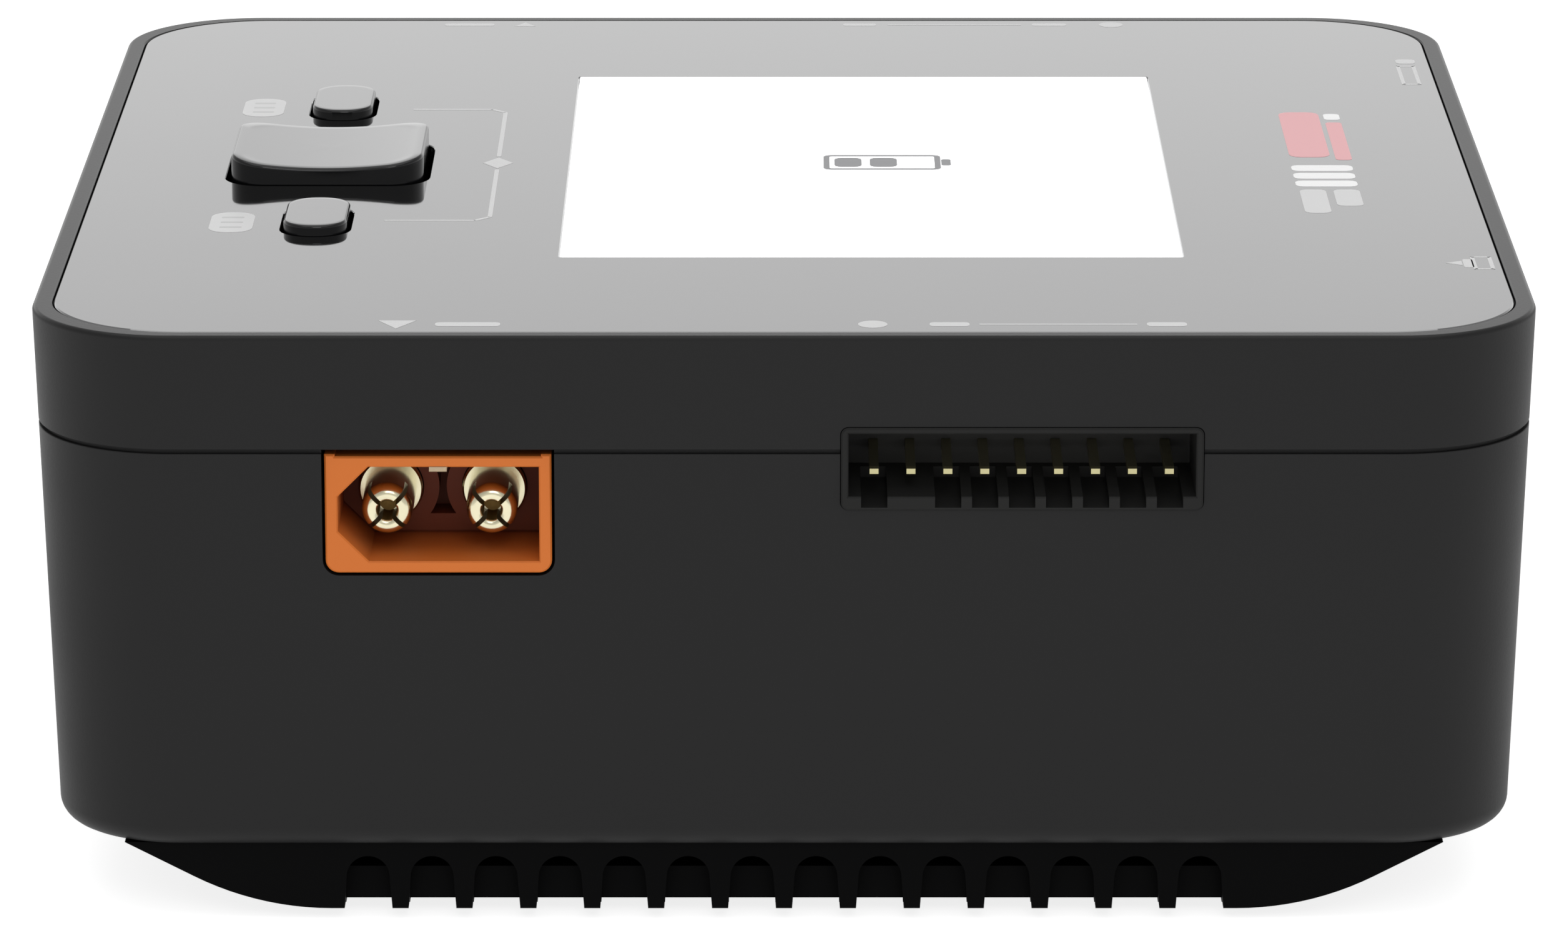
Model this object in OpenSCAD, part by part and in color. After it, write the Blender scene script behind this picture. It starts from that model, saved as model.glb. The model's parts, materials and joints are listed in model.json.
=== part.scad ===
// Two-channel balance battery charger for model battery packs.
// Origin: centre of the footprint, on the plane that the rubber feet stand on.
// +X is right, +Y is back, +Z is up, as seen by a user at the front wall.

/* [Case] */
// Width over the rim
body_w = 102.9; // [100:0.1:110]
// Depth over the rim
body_d = 104.3; // [102:0.1:110]
// Height of the panel above the feet
body_h = 42; // [42:0.5:48]
// Height of the groove between the two shells
split_z = 33.9; // [33.7:0.1:34]
// Height of the lower shell's bottom edge
shell_z = 5.55; // [5.5:0.05:5.6]
// Draft of the walls, in degrees
draft = 1.9; // [1:0.1:2.5]
// Plan radius of the case's corners at the rim
corner_r = 10; // [9.6:0.1:12]
// Wall thickness of the shells
wall = 2.5; // [2.4:0.1:2.6]

/* [Panel and keys] */
// Width of the top panel
panel_w = 100; // [99:0.1:100.2]
// Depth of the top panel
panel_d = 101.48; // [100:0.1:101.6]
// Plan radius of the panel's corners
panel_r = 9.4; // [8:0.1:9.6]
// Thickness of the top panel
panel_t = 1.2; // [1:0.1:1.2]
// Width of the screen's window
window_w = 43.6; // [40:0.1:44]
// Depth of the screen's window
window_d = 59.1; // [56:0.1:60]
// Centre of the window, across
window_x = 6.1; // [6:0.1:6.3]
// Centre of the keys, across
key_x = -33.25; // [-33.35:0.05:-33.1]
// Centre of the front small key, in front of the middle
enter_y = 18.5; // [18:0.05:19.5]
// Centre of the back small key, behind the middle
back_y = 19; // [18:0.05:19.5]
// Travel of the small keys
key_travel = 0.25; // [0.15:0.05:0.25]

/* [Connectors] */
// Centre of the power connectors, across
power_x = -23.4; // [-24:0.1:-23]
// Centre of the balance sockets, across
balance_x = 16.1; // [15:0.1:16.5]
// Number of pins in a balance socket
balance_pins = 9; // [3:1:9]
// Centre of the input connector, along the right wall
input_y = 31; // [30:0.5:31]
// Centre of the data port, along the right wall
port_y = -31; // [-32:0.5:-30]

/* [Base] */
// Number of air slots along each end
slots = 14; // [4:1:14]
// Pitch of the air slots
slot_pitch = 4.4; // [4.2:0.1:4.4]
// Width of an air slot
slot_w = 2.95; // [2:0.05:3]

/* [Hidden] */
$fn = 64;
hull_fn = 40;
tiny = 0.01;

// Case levels
draft_slope = tan(draft);
rim_fillet = 0.9;
shell_fillet = 1.5;
groove = 0.3;
deck_top = body_h - panel_t - 0.2;
deck_t = 1.6;
deck_low = deck_top - deck_t;
cavity_w = 98.1;
cavity_d = 99.5;
cavity_r = 7.8;
floor_t = 2;
floor_top = shell_z + floor_t;
lip_t = 1;
lip_h = 1.5;

// Board and its fasteners
board_top = 37.2;
board_t = 1.6;
board_low = board_top - board_t;
column_x = 36;
column_y = 41.5;
column_r = 3.75;
column_z = 24.5;
column_bore = 1.45;
insert_r = 2;
insert_h = 4;
case_screw_r = 1.25;
case_screw_seat = 3.6;
case_screw_l = 25;
board_screw_x = 44.5;
board_screw_y = 44;
board_screw_r = 1;

// Base
base_low = 0.78;
base_half_d = 49.5;
base_t = 2;
flank_angle = 27.5;
flank_r = 20.4;
flank_x = 31.14;
slot_arch_z = 3.07;
slot_reach = 1.4;
slot_floor = 3.4;
slot_mouth = 2.5;
slot_relief = 1.1;
foot_x = 23;
foot_y = 36;
foot_r = 4.5;
foot_h = 1.3;

// Keys
rocker_w = 14;
rocker_d = 14;
rocker_r = 2.5;
rocker_end_z = body_h + 1.8;
rocker_mid_z = body_h + 1.2;
rocker_axis_z = 39.5;
rocker_pin_r = 0.6;
nib_x = 4.5;
small_w = 4.5;
small_d = 9;
small_r = 2.1;
small_top = body_h + 0.75;
switch_w = 4.5;
switch_h = 0.8;
plunger_r = 1;
plunger_top = 38.3;

// Power connector, measured from its centre
power_w = 15.35;
power_h = 8.3;
power_z = 29.5;
power_l = 12;
power_face = 0.15;
bullet_r = 1.75;
bullet_pitch = 7.1;
bullet_tip = 1.5;
power_depth = 8;
power_r = 0.9;
bullet_z = -0.2;
collar_r = 2.35;

// Balance socket
pin_pitch = 2.5;
pin_w = 0.64;
header_w = pin_pitch * (balance_pins - 1) + 4.5;
header_low = 29.85;
header_l = 10.5;
header_depth = 9;
header_proud = 0.15;
header_r = 0.5;
pin_z = 32.2;

// Display and data port
lcd_w = 50;
lcd_d = 69.2;
lcd_y = 2.7;
lcd_t = 2.3;
lcd_low = deck_top - lcd_t;
window_y = 0.25;
port_w = 9;
port_h = 3.3;
port_low = board_low - port_h;
port_l = 7.4;
port_face = 0.1;

// Heat sink
sink_y = -8;
sink_w = 66;
sink_d = 36;
sink_screw_x = 30.8;
sink_screw_y = 14;
sink_low = 31.8;
sink_t = 2;
pad_t = 0.8;

// Fan
fan_y = -12;
fan_size = 50;
fan_h = 15;
fan_pitch = 40;
fan_bore = 23.4;
hub_r = 11;
blades = 7;
plug_x = 30;
plug_y = -30.5;
plug_low = 31.15;

// Half of a side of the outer wall at height z, for a side measured at the rim
function half_at(side, z) = side / 2 - (body_h - z) * draft_slope;

// A rectangle with round corners, centred
module round_rect(w, d, r) {
    square([w - 2 * r, d], center = true);
    square([w, d - 2 * r], center = true);
    for (x = [-1, 1]) for (y = [-1, 1])
        translate([x * (w / 2 - r), y * (d / 2 - r)]) circle(r);
}

// A plate with round corners that stands on height z
module plate(w, d, r, z, t) {
    translate([0, 0, z]) linear_extrude(t) round_rect(w, d, r);
}

// A thin slice of the outer wall at height z, set in by inset
module wall_slice(z, inset) {
    x = half_at(body_w, z) - inset;
    y = half_at(body_d, z) - inset;
    r = corner_r - (body_h - z) * draft_slope - inset;
    translate([0, 0, z]) linear_extrude(tiny) round_rect(2 * x, 2 * y, r, $fn = hull_fn);
}

// The four points that mirror across both middle planes
module at_corners(x, y) {
    for (sx = [-1, 1]) for (sy = [-1, 1]) translate([sx * x, sy * y, 0]) children();
}

// A block centred on x and y that stands on height z
module block(w, d, z, h) {
    translate([-w / 2, -d / 2, z]) cube([w, d, h]);
}

// A rod between two heights
module rod(r, z, h) {
    translate([0, 0, z]) cylinder(r = r, h = h);
}

// An opening through a wall along Y, square at the top and round at its lower corners
module bay(w, d, low, top, r) {
    rotate([90, 0, 0]) linear_extrude(d, center = true) {
        translate([0, (low + top) / 2]) round_rect(w, top - low, r);
        translate([-w / 2, top - 2 * r]) square([w, 2 * r]);
    }
}

// Connector openings in the walls, shared by both shells
module wall_openings() {
    depth = 8;
    power_gap = 0.2;
    power_low = power_z - power_h / 2 - power_gap;
    power_top = split_z + groove / 2;
    header_gap = 0.06;
    header_h = board_low - header_low + 2 * header_gap;
    port_gap = 0.15;
    for (end = [-1, 1]) {
        translate([power_x, end * body_d / 2, 0])
            bay(power_w + 2 * power_gap, depth, power_low, power_top, power_r + power_gap);
        translate([balance_x, end * body_d / 2, header_low - header_gap + header_h / 2])
            rotate([90, 0, 0]) linear_extrude(depth, center = true)
                round_rect(header_w + 2 * header_gap, header_h, header_r + header_gap);
    }
    translate([body_w / 2, input_y, 0]) rotate([0, 0, 90])
        bay(power_w + 2 * power_gap, depth, power_low, power_top, power_r + power_gap);
    translate([body_w / 2, port_y, 0])
        block(depth, port_w + 2 * port_gap, port_low - port_gap, port_h + 2 * port_gap);
}

// Openings for the screen and the keys in the deck
module deck_openings() {
    translate([window_x, lcd_y, 0]) block(lcd_w + 0.6, lcd_d + 0.6, deck_low - 1, 4);
    translate([key_x, 0, 0]) block(rocker_w + 1.5, rocker_d + 4, deck_low - 1, 4);
    for (y = [-enter_y, back_y]) translate([key_x, y, 0])
        plate(small_w + 0.7, small_d + 0.7, small_r + 0.35, deck_low - 1, 4);
}

module upper_shell() {
    shell_low = split_z + groove / 2;
    lip_room = 2 * lip_t + 0.3;
    lip_r = cavity_r + lip_room / 2;
    color("#2b2b2d") difference() {
        union() {
            difference() {
                hull() {
                    wall_slice(shell_low, 0);
                    for (a = [0:22.5:90])
                        wall_slice(body_h - rim_fillet * (1 - sin(a)) - tiny, rim_fillet * (1 - cos(a)));
                }
                plate(cavity_w, cavity_d, cavity_r, split_z - 1, deck_low - split_z + 1);
                plate(panel_w + 0.2, panel_d + 0.2, panel_r + 0.1, deck_top, 4);
                plate(cavity_w + lip_room, cavity_d + lip_room, lip_r, split_z - 1, lip_h + 1.3);
            }
            at_corners(column_x, column_y) rod(column_r, column_z, deck_low - column_z + 0.5);
            at_corners(board_screw_x, board_screw_y) rod(2.6, board_top, deck_low - board_top + 0.5);
        }
        at_corners(column_x, column_y) rod(insert_r, column_z - 1, insert_h + 1);
        at_corners(column_x, column_y) rod(column_bore, column_z, insert_h + 2);
        at_corners(board_screw_x, board_screw_y) rod(board_screw_r + 0.02, board_top - 1, 3.8);
        deck_openings();
        wall_openings();
    }
}

module lower_shell() {
    shell_high = split_z - groove / 2;
    color("#2b2b2d") difference() {
        union() {
            difference() {
                hull() {
                    for (a = [0:30:90])
                        wall_slice(shell_z + shell_fillet * (1 - cos(a)), shell_fillet * (1 - sin(a)));
                    wall_slice(shell_high - tiny, 0);
                }
                hull() {
                    wall_slice(floor_top, wall);
                    wall_slice(shell_high + 1, wall);
                }
            }
            difference() {
                plate(cavity_w + 2 * lip_t, cavity_d + 2 * lip_t, cavity_r + lip_t, split_z - 2, 2 + lip_h);
                plate(cavity_w, cavity_d, cavity_r, split_z - 3, 4 + lip_h);
            }
            at_corners(column_x, column_y) rod(column_r, floor_top - 0.5, column_z - floor_top + 0.5);
        }
        at_corners(column_x, column_y) rod(column_bore, shell_z - 1, 30);
        translate([0, fan_y, 0]) rod(fan_bore, shell_z - 1, 4);
        translate([0, fan_y, 0]) at_corners(fan_pitch / 2, fan_pitch / 2) rod(1.52, shell_z - 1, 4);
        translate([0, 28, 0]) plate(56, 18, 3, shell_z - 1, 4);
        wall_openings();
    }
}

// Outline of the base across the case, from its middle to its right flank, set in by inset.
// The flat bottom runs into an arc, and the arc into a straight flank.
function flank_points(inset, top) =
    let (centre_z = base_low + flank_r,
        r = flank_r - inset,
        end_x = flank_x + r * sin(flank_angle),
        end_z = centre_z - r * cos(flank_angle))
    concat(
        [for (a = [0:2.5:flank_angle]) [flank_x + r * sin(a), centre_z - r * cos(a)]],
        [[end_x + (top - end_z) / tan(flank_angle), top]]);

module base_prism(inset, top, half_depth) {
    right = flank_points(inset, top);
    left = [for (i = [len(right) - 1:-1:0]) [-right[i][0], right[i][1]]];
    translate([0, half_depth, 0]) rotate([90, 0, 0]) linear_extrude(2 * half_depth)
        polygon(concat(right, left));
}

// One air slot, cut from the front face: an arched recess, open through the wall only under its crown.
// The plate's underside is relieved behind it.
module air_slot() {
    foot_w = slot_w + 0.45;
    inner_w = slot_w - 0.04;
    mouth_w = foot_w - 0.2;
    translate([0, slot_reach, 0]) rotate([90, 0, 0]) linear_extrude(slot_reach + 1) {
        translate([0, slot_arch_z]) circle(slot_w / 2, $fn = 32);
        polygon([[-foot_w / 2, 0], [foot_w / 2, 0], [slot_w / 2, slot_arch_z], [-slot_w / 2, slot_arch_z]]);
    }
    translate([-mouth_w / 2, 0, -1]) cube([mouth_w, slot_mouth, slot_relief + 1]);
    translate([0, base_t + 0.5, 0]) rotate([90, 0, 0]) linear_extrude(base_t) intersection() {
        translate([0, slot_arch_z]) circle(inner_w / 2, $fn = 32);
        translate([-inner_w / 2, slot_floor]) square([inner_w, slot_w]);
    }
}

module base_cover() {
    color("#0d0d0e") difference() {
        union() {
            difference() {
                base_prism(0, shell_z, base_half_d);
                base_prism(base_t, shell_z + 1, base_half_d - base_t);
            }
            intersection() {
                base_prism(0, shell_z, base_half_d);
                at_corners(column_x, column_y) rod(4.4, 0, shell_z);
            }
        }
        at_corners(column_x, column_y) rod(2.6, -1, case_screw_seat + 1);
        at_corners(column_x, column_y) rod(column_bore, 0, shell_z + 1);
        at_corners(foot_x, foot_y) rod(foot_r + 0.1, -1, 1 + foot_h);
        for (end = [0, 180]) rotate([0, 0, end])
            for (i = [0:slots - 1])
                translate([(i - (slots - 1) / 2) * slot_pitch, -base_half_d, 0]) air_slot();
    }
}

module rubber_feet() {
    color("#1c1c1c") at_corners(foot_x, foot_y) {
        rod(foot_r - 0.4, 0, 0.4);
        rod(foot_r, 0.4, foot_h - 0.4);
    }
}

// A pan head with a cross recess, its seat at height z and its face down
module cross_head(r, z, h) {
    difference() {
        rod(r, z - h, h);
        for (a = [0, 90]) rotate([0, 0, a]) block(r * 1.1, 0.5, z - h - 1, 1 + h / 2);
    }
}

module case_screws() {
    color("#3a3a3c") at_corners(column_x, column_y) {
        cross_head(2.4, case_screw_seat, 1.5);
        rod(case_screw_r, case_screw_seat - 0.2, case_screw_l + 0.2);
    }
}

module threaded_inserts() {
    color("#c8a24a") at_corners(column_x, column_y) difference() {
        union() {
            rod(insert_r, column_z, 1.5);
            rod(insert_r - 0.3, column_z + 1.4, 1.2);
            rod(insert_r, column_z + 2.5, insert_h - 2.5);
        }
        rod(case_screw_r + 0.05, column_z - 1, insert_h + 2);
    }
}

module top_panel() {
    color("#b8b8b8") difference() {
        plate(panel_w, panel_d, panel_r, body_h - panel_t, panel_t);
        translate([window_x, window_y, 0]) block(window_w + 0.1, window_d + 0.1, body_h - 3, 4);
        translate([key_x, 0, 0]) plate(rocker_w + 0.85, rocker_d + 0.7, rocker_r + 0.3, body_h - 3, 4);
        for (y = [-enter_y, back_y]) translate([key_x, y, 0])
            plate(small_w + 0.5, small_d + 0.5, small_r + 0.25, body_h - 3, 4);
    }
}

module panel_adhesive() {
    color("#202020") difference() {
        plate(panel_w - 1, panel_d - 1, panel_r - 0.5, deck_top, 0.2);
        translate([window_x, window_y, 0]) block(window_w - 1, window_d - 1, deck_top - 1, 3);
        translate([key_x, 0, 0]) block(rocker_w + 1.5, rocker_d + 4, deck_top - 1, 3);
        for (y = [-enter_y, back_y]) translate([key_x, y, 0])
            plate(small_w + 0.7, small_d + 0.7, small_r + 0.35, deck_top - 1, 3);
    }
}

module display_lens() {
    color("#ffffff") translate([window_x, window_y, 0]) block(window_w, window_d, body_h - panel_t, panel_t);
}

module lcd_module() {
    color("#e8eef2") translate([window_x, lcd_y, 0]) plate(lcd_w, lcd_d, 0.6, lcd_low, lcd_t);
}

module lcd_cushion() {
    color("#303030") translate([window_x, -5, 0]) difference() {
        block(48, 50, board_top, lcd_low - board_top);
        block(42, 44, board_top - 1, 4);
    }
}

module lcd_ribbon() {
    ribbon_w = 20;
    ribbon_t = 0.2;
    color("#c07820") translate([window_x + ribbon_w / 2, 0, 0]) rotate([0, -90, 0]) linear_extrude(ribbon_w)
        polygon([[lcd_low, 36], [lcd_low, 30], [board_top + ribbon_t, 27], [board_top + ribbon_t, 23],
            [board_top, 23], [board_top, 27.2], [lcd_low - ribbon_t, 30.2], [lcd_low - ribbon_t, 36]]);
}

module main_board() {
    color("#0f5a35") difference() {
        plate(96.6, 98, 7, board_low, board_t);
        at_corners(column_x, column_y) rod(column_r + 0.35, board_low - 1, 4);
        at_corners(board_screw_x, board_screw_y) rod(board_screw_r + 0.15, board_low - 1, 4);
        translate([0, sink_y, 0]) at_corners(sink_screw_x, sink_screw_y) rod(1.35, board_low - 1, 4);
    }
}

module board_screws() {
    color("#b0b0b4") at_corners(board_screw_x, board_screw_y) {
        cross_head(1.9, board_low, 1.3);
        rod(board_screw_r, board_low - 0.2, 4.2);
    }
}

module rocker_key() {
    dish = rocker_end_z - rocker_mid_z;
    saddle_r = (pow(rocker_w / 2, 2) + pow(dish, 2)) / (2 * dish);
    low = 38.75;
    color("#9a9a9c") translate([key_x, 0, 0]) difference() {
        union() {
            difference() {
                plate(rocker_w, rocker_d, rocker_r, low, rocker_end_z - low);
                translate([0, rocker_d, rocker_mid_z + saddle_r]) rotate([90, 0, 0])
                    cylinder(r = saddle_r, h = 2 * rocker_d, $fn = 200);
            }
            block(4, rocker_d - 1, low - 0.3, 0.5);
            for (s = [-1, 1]) translate([s * nib_x, 0, 0]) rod(0.9, low - 0.15, 0.5);
        }
        translate([0, rocker_d, rocker_axis_z]) rotate([90, 0, 0])
            cylinder(r = rocker_pin_r + 0.05, h = 2 * rocker_d);
    }
}

module rocker_pin() {
    half = 8.5;
    color("#c8c8cc") translate([key_x, half, rocker_axis_z]) rotate([90, 0, 0])
        cylinder(r = rocker_pin_r, h = 2 * half);
}

module key_bracket() {
    plate_t = 0.5;
    ear_y = rocker_d / 2 + 0.3;
    ear_t = 1.2;
    color("#26262a") translate([key_x, 0, 0]) difference() {
        union() {
            block(18, 2 * (ear_y + ear_t), board_top, plate_t);
            for (s = [-1, 1]) translate([0, s * (ear_y + ear_t / 2), 0])
                block(4, ear_t, board_top, deck_top - 0.05 - board_top);
        }
        for (s = [-1, 1]) translate([s * nib_x, 0, 0])
            block(switch_w + 0.3, switch_w + 0.3, board_top - 1, 3);
        translate([0, 20, rocker_axis_z]) rotate([90, 0, 0]) cylinder(r = rocker_pin_r + 0.01, h = 40);
    }
}

module small_key() {
    flange_t = 0.6;
    color("#9a9a9c") {
        plate(small_w, small_d, small_r, plunger_top + flange_t - tiny, small_top - plunger_top - flange_t);
        plate(small_w + 1.6, small_d + 1.6, small_r + 0.8, plunger_top, flange_t);
    }
}
module enter_key() { translate([key_x, -enter_y, 0]) small_key(); }
module back_key() { translate([key_x, back_y, 0]) small_key(); }

module switch_bodies() {
    places = [[key_x - nib_x, 0], [key_x + nib_x, 0], [key_x, -enter_y], [key_x, back_y]];
    color("#d8d8d8") for (p = places) translate([p[0], p[1], 0]) difference() {
        block(switch_w, switch_w, board_top, switch_h);
        rod(plunger_r + 0.05, board_top + 0.15, switch_h);
    }
}

module plunger() {
    color("#1a1a1a") rod(plunger_r, plunger_top - 0.65, 0.65);
}
module up_plunger() { translate([key_x - nib_x, 0, 0]) plunger(); }
module down_plunger() { translate([key_x + nib_x, 0, 0]) plunger(); }
module enter_plunger() { translate([key_x, -enter_y, 0]) plunger(); }
module back_plunger() { translate([key_x, back_y, 0]) plunger(); }

// Power connector with its mouth towards -Y at y = 0 and its centre at x = 0
module power_housing() {
    ear_w = 0.7;
    ear_h = 0.3;
    inner_w = 13.65;
    inner_h = 6.5;
    inner_z = -0.1;
    chamfer_x = 2.1;
    chamfer_z = 2.1;
    pocket_w = 2.4;
    pocket_h = 3.9;
    pocket_t = 2.5;
    boss_r = 3.3;
    left = -inner_w / 2;
    low = inner_z - inner_h / 2;
    high = inner_z + inner_h / 2;
    color("#b86a34") translate([0, 0, power_z]) difference() {
        translate([0, power_l, 0]) rotate([90, 0, 0]) linear_extrude(power_l) {
            round_rect(power_w, power_h, power_r);
            translate([-power_w / 2, 0]) square([power_w, power_h / 2]);
        }
        translate([-power_w / 2 + ear_w, -1, power_h / 2 - ear_h])
            cube([power_w - 2 * ear_w, power_l + 2, 1]);
        translate([0, power_depth, 0]) rotate([90, 0, 0]) linear_extrude(power_depth + 1)
            polygon([[left, low + chamfer_z], [left + chamfer_x, low], [-left, low], [-left, high],
                [left + chamfer_x, high], [left, high - chamfer_z]]);
        for (s = [-1, 1]) translate([s * bullet_pitch / 2, 0, bullet_z]) rotate([-90, 0, 0]) {
            translate([0, 0, 1]) cylinder(r = bullet_r + 0.05, h = power_l);
            translate([0, 0, power_depth - 1]) cylinder(r = collar_r + 0.05, h = 2);
        }
        difference() {
            translate([-pocket_w / 2, power_depth - 1, bullet_z - pocket_h / 2])
                cube([pocket_w, 1 + pocket_t, pocket_h]);
            for (s = [-1, 1]) translate([s * bullet_pitch / 2, 0, bullet_z]) rotate([-90, 0, 0])
                cylinder(r = boss_r, h = power_l + 1);
        }
    }
}

// The two split bullet pins of a power connector, with their tails up to the board
module power_pins() {
    slit = 0.45;
    slit_l = 2.6;
    bore_r = 0.65;
    tail_w = 3;
    tail_t = 1.2;
    tail_low = -1.4;
    color("#d8c27a") for (s = [-1, 1]) translate([s * bullet_pitch / 2, 0, power_z + bullet_z]) {
        difference() {
            translate([0, power_l, 0]) rotate([90, 0, 0]) cylinder(r = bullet_r, h = power_l - bullet_tip);
            translate([0, bullet_tip + slit_l, 0]) rotate([90, 0, 0]) cylinder(r = bore_r, h = slit_l + 1);
            for (a = [45, 135]) rotate([0, a, 0])
                translate([-slit / 2, bullet_tip - 1, -3]) cube([slit, slit_l + 1, 6]);
        }
        translate([0, power_depth + 1, 0]) rotate([90, 0, 0]) cylinder(r = collar_r, h = 1.8);
        translate([-tail_w / 2, power_l - 0.01, tail_low])
            cube([tail_w, tail_t, board_low - power_z - bullet_z - tail_low]);
    }
}

// Places a connector on the front, back or right wall
module on_front(x) { translate([x, -(half_at(body_d, power_z) - power_face), 0]) children(); }
module on_back(x) { translate([x, half_at(body_d, power_z) - power_face, 0]) rotate([0, 0, 180]) children(); }
module on_right(y) { translate([half_at(body_w, power_z) - power_face, y, 0]) rotate([0, 0, 90]) children(); }

module ch2_power_housing() { on_front(power_x) power_housing(); }
module ch2_power_pins() { on_front(power_x) power_pins(); }
module ch1_power_housing() { on_back(power_x) power_housing(); }
module ch1_power_pins() { on_back(power_x) power_pins(); }
module dc_input_housing() { on_right(input_y) power_housing(); }
module dc_input_pins() { on_right(input_y) power_pins(); }

// Place of each pin across a balance socket
function pin_at(i) = (i - (balance_pins - 1) / 2) * pin_pitch;

// Balance socket with its mouth towards -Y at y = 0. The second pin has a solid key block under it.
module balance_header() {
    header_h = board_low - header_low;
    side_t = 0.5;
    wall_low = 0.95;
    wall_high = 0.4;
    notch_w = 1.78;
    notch_low = header_low + 0.2;
    color("#161616") difference() {
        translate([0, header_l, header_low + header_h / 2]) rotate([90, 0, 0]) linear_extrude(header_l)
            round_rect(header_w, header_h, header_r, $fn = 32);
        translate([-header_w / 2 + side_t, -1, header_low + wall_low])
            cube([header_w - 2 * side_t, header_depth + 1, header_h - wall_low - wall_high]);
        for (i = [0:balance_pins - 1]) if (i != 1)
            translate([pin_at(i) - notch_w / 2, -1, notch_low]) cube([notch_w, header_depth - 1, wall_low]);
        for (i = [0:balance_pins - 1])
            translate([pin_at(i) - pin_w / 2, 0, pin_z - pin_w / 2]) cube([pin_w, header_l + 1, pin_w]);
    }
}

module balance_pin_row() {
    tip = 1.5;
    tail_y = header_l + 0.6;
    color("#d6c88a") for (i = [0:balance_pins - 1]) translate([pin_at(i) - pin_w / 2, 0, 0]) {
        translate([0, tip, pin_z - pin_w / 2]) cube([pin_w, tail_y + pin_w - tip, pin_w]);
        translate([0, tail_y, pin_z - pin_w / 2]) cube([pin_w, pin_w, board_low - pin_z + pin_w / 2]);
    }
}

module header_front(x) {
    translate([x, -(half_at(body_d, split_z) + header_proud), 0]) children();
}
module header_back(x) {
    translate([x, half_at(body_d, split_z) + header_proud, 0]) rotate([0, 0, 180]) children();
}
module ch2_balance_header() { header_front(balance_x) balance_header(); }
module ch2_balance_pins() { header_front(balance_x) balance_pin_row(); }
module ch1_balance_header() { header_back(balance_x) balance_header(); }
module ch1_balance_pins() { header_back(balance_x) balance_pin_row(); }

module usb_shell() {
    skin = 0.3;
    color("#b8bcc0") on_right_port() difference() {
        translate([0, port_l, port_low + port_h / 2]) rotate([90, 0, 0]) linear_extrude(port_l)
            round_rect(port_w, port_h, 1.6);
        translate([0, port_l - 1, port_low + port_h / 2]) rotate([90, 0, 0]) linear_extrude(port_l)
            round_rect(port_w - 2 * skin, port_h - 2 * skin, 1.3);
    }
}
module usb_tongue() {
    tongue_w = 6.6;
    tongue_t = 0.7;
    color("#1a1a1a") on_right_port() translate([-tongue_w / 2, 1, port_low + (port_h - tongue_t) / 2])
        cube([tongue_w, port_l - 2, tongue_t]);
}
module on_right_port() {
    translate([half_at(body_w, split_z) - port_face, port_y, 0]) rotate([0, 0, 90]) children();
}

// Fan, standing on the floor with its open face up
module in_fan() { translate([0, fan_y, floor_top]) children(); }

module fan_frame() {
    color("#1d1d1f") in_fan() difference() {
        union() {
            difference() {
                plate(fan_size, fan_size, 3, 0, fan_h);
                rod(fan_bore, -1, fan_h + 2);
            }
            for (a = [45:90:315]) rotate([0, 0, a]) translate([8, -1.5, 0]) cube([fan_bore - 7, 3, 2]);
            rod(hub_r + 0.5, 0, 2);
            rod(3.4, 1, 10);
        }
        rod(2.5, 2, 12);
        at_corners(fan_pitch / 2, fan_pitch / 2) rod(2.15, -1, fan_h + 2);
    }
}

module fan_bearing() {
    color("#b98f4a") in_fan() difference() {
        rod(2.49, 2, 8.5);
        rod(1.04, 1, 12);
    }
}

module fan_shaft() {
    color("#d0d0d4") in_fan() rod(1, 2.4, 11.2);
}

module fan_stator() {
    color("#a05a28") in_fan() difference() {
        rod(8.6, 3.2, 7);
        rod(3.42, 2, 10);
        for (a = [0:90:270]) rotate([0, 0, a]) translate([5, -0.8, 2]) cube([6, 1.6, 10]);
    }
}

module fan_magnet() {
    color("#505058") in_fan() difference() {
        rod(10.2, 3, 8.6);
        rod(9.2, 2, 12);
    }
}

module fan_rotor() {
    hub_low = 2.6;
    hub_high = 14;
    blade_low = 3.2;
    blade_h = 10;
    color("#232326") in_fan() difference() {
        union() {
            rod(hub_r, hub_low, hub_high - hub_low);
            intersection() {
                difference() {
                    rod(fan_bore - 0.8, blade_low, blade_h);
                    rod(hub_r - 0.5, blade_low - 1, blade_h + 2);
                }
                for (i = [0:blades - 1]) rotate([0, 0, i * 360 / blades])
                    translate([0, 0, blade_low + blade_h / 2]) rotate([40, 0, 0])
                        translate([hub_r - 2, -8, -0.6]) cube([fan_bore, 16, 1.2]);
            }
        }
        rod(10.2, 1, 11.6);
        rod(1, 2, 11.6);
    }
}

module fan_screws() {
    color("#b0b0b4") in_fan() at_corners(fan_pitch / 2, fan_pitch / 2) {
        difference() {
            rod(2.6, fan_h, 1.4);
            for (a = [0, 90]) rotate([0, 0, a]) block(2.8, 0.6, fan_h + 0.7, 2);
        }
        rod(1.5, -1.6, fan_h + 1.8);
    }
}

// Two wires from the fan's side up to the plug on the board
module fan_lead() {
    wire_r = 0.5;
    wire_z = 13;
    color("#b02020") for (s = [-1, 1]) translate([0, plug_y + s * 0.9, 0]) {
        translate([fan_size / 2, 0, wire_z]) rotate([0, 90, 0])
            cylinder(r = wire_r, h = plug_x - fan_size / 2, $fn = 24);
        translate([plug_x, 0, wire_z]) sphere(wire_r + 0.08, $fn = 24);
        translate([plug_x, 0, wire_z]) cylinder(r = wire_r, h = plug_low - wire_z, $fn = 24);
    }
}

module fan_connector() {
    color("#e6e0cc") translate([plug_x, plug_y, 0]) block(4.5, 6, plug_low, board_low - plug_low);
}

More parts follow.
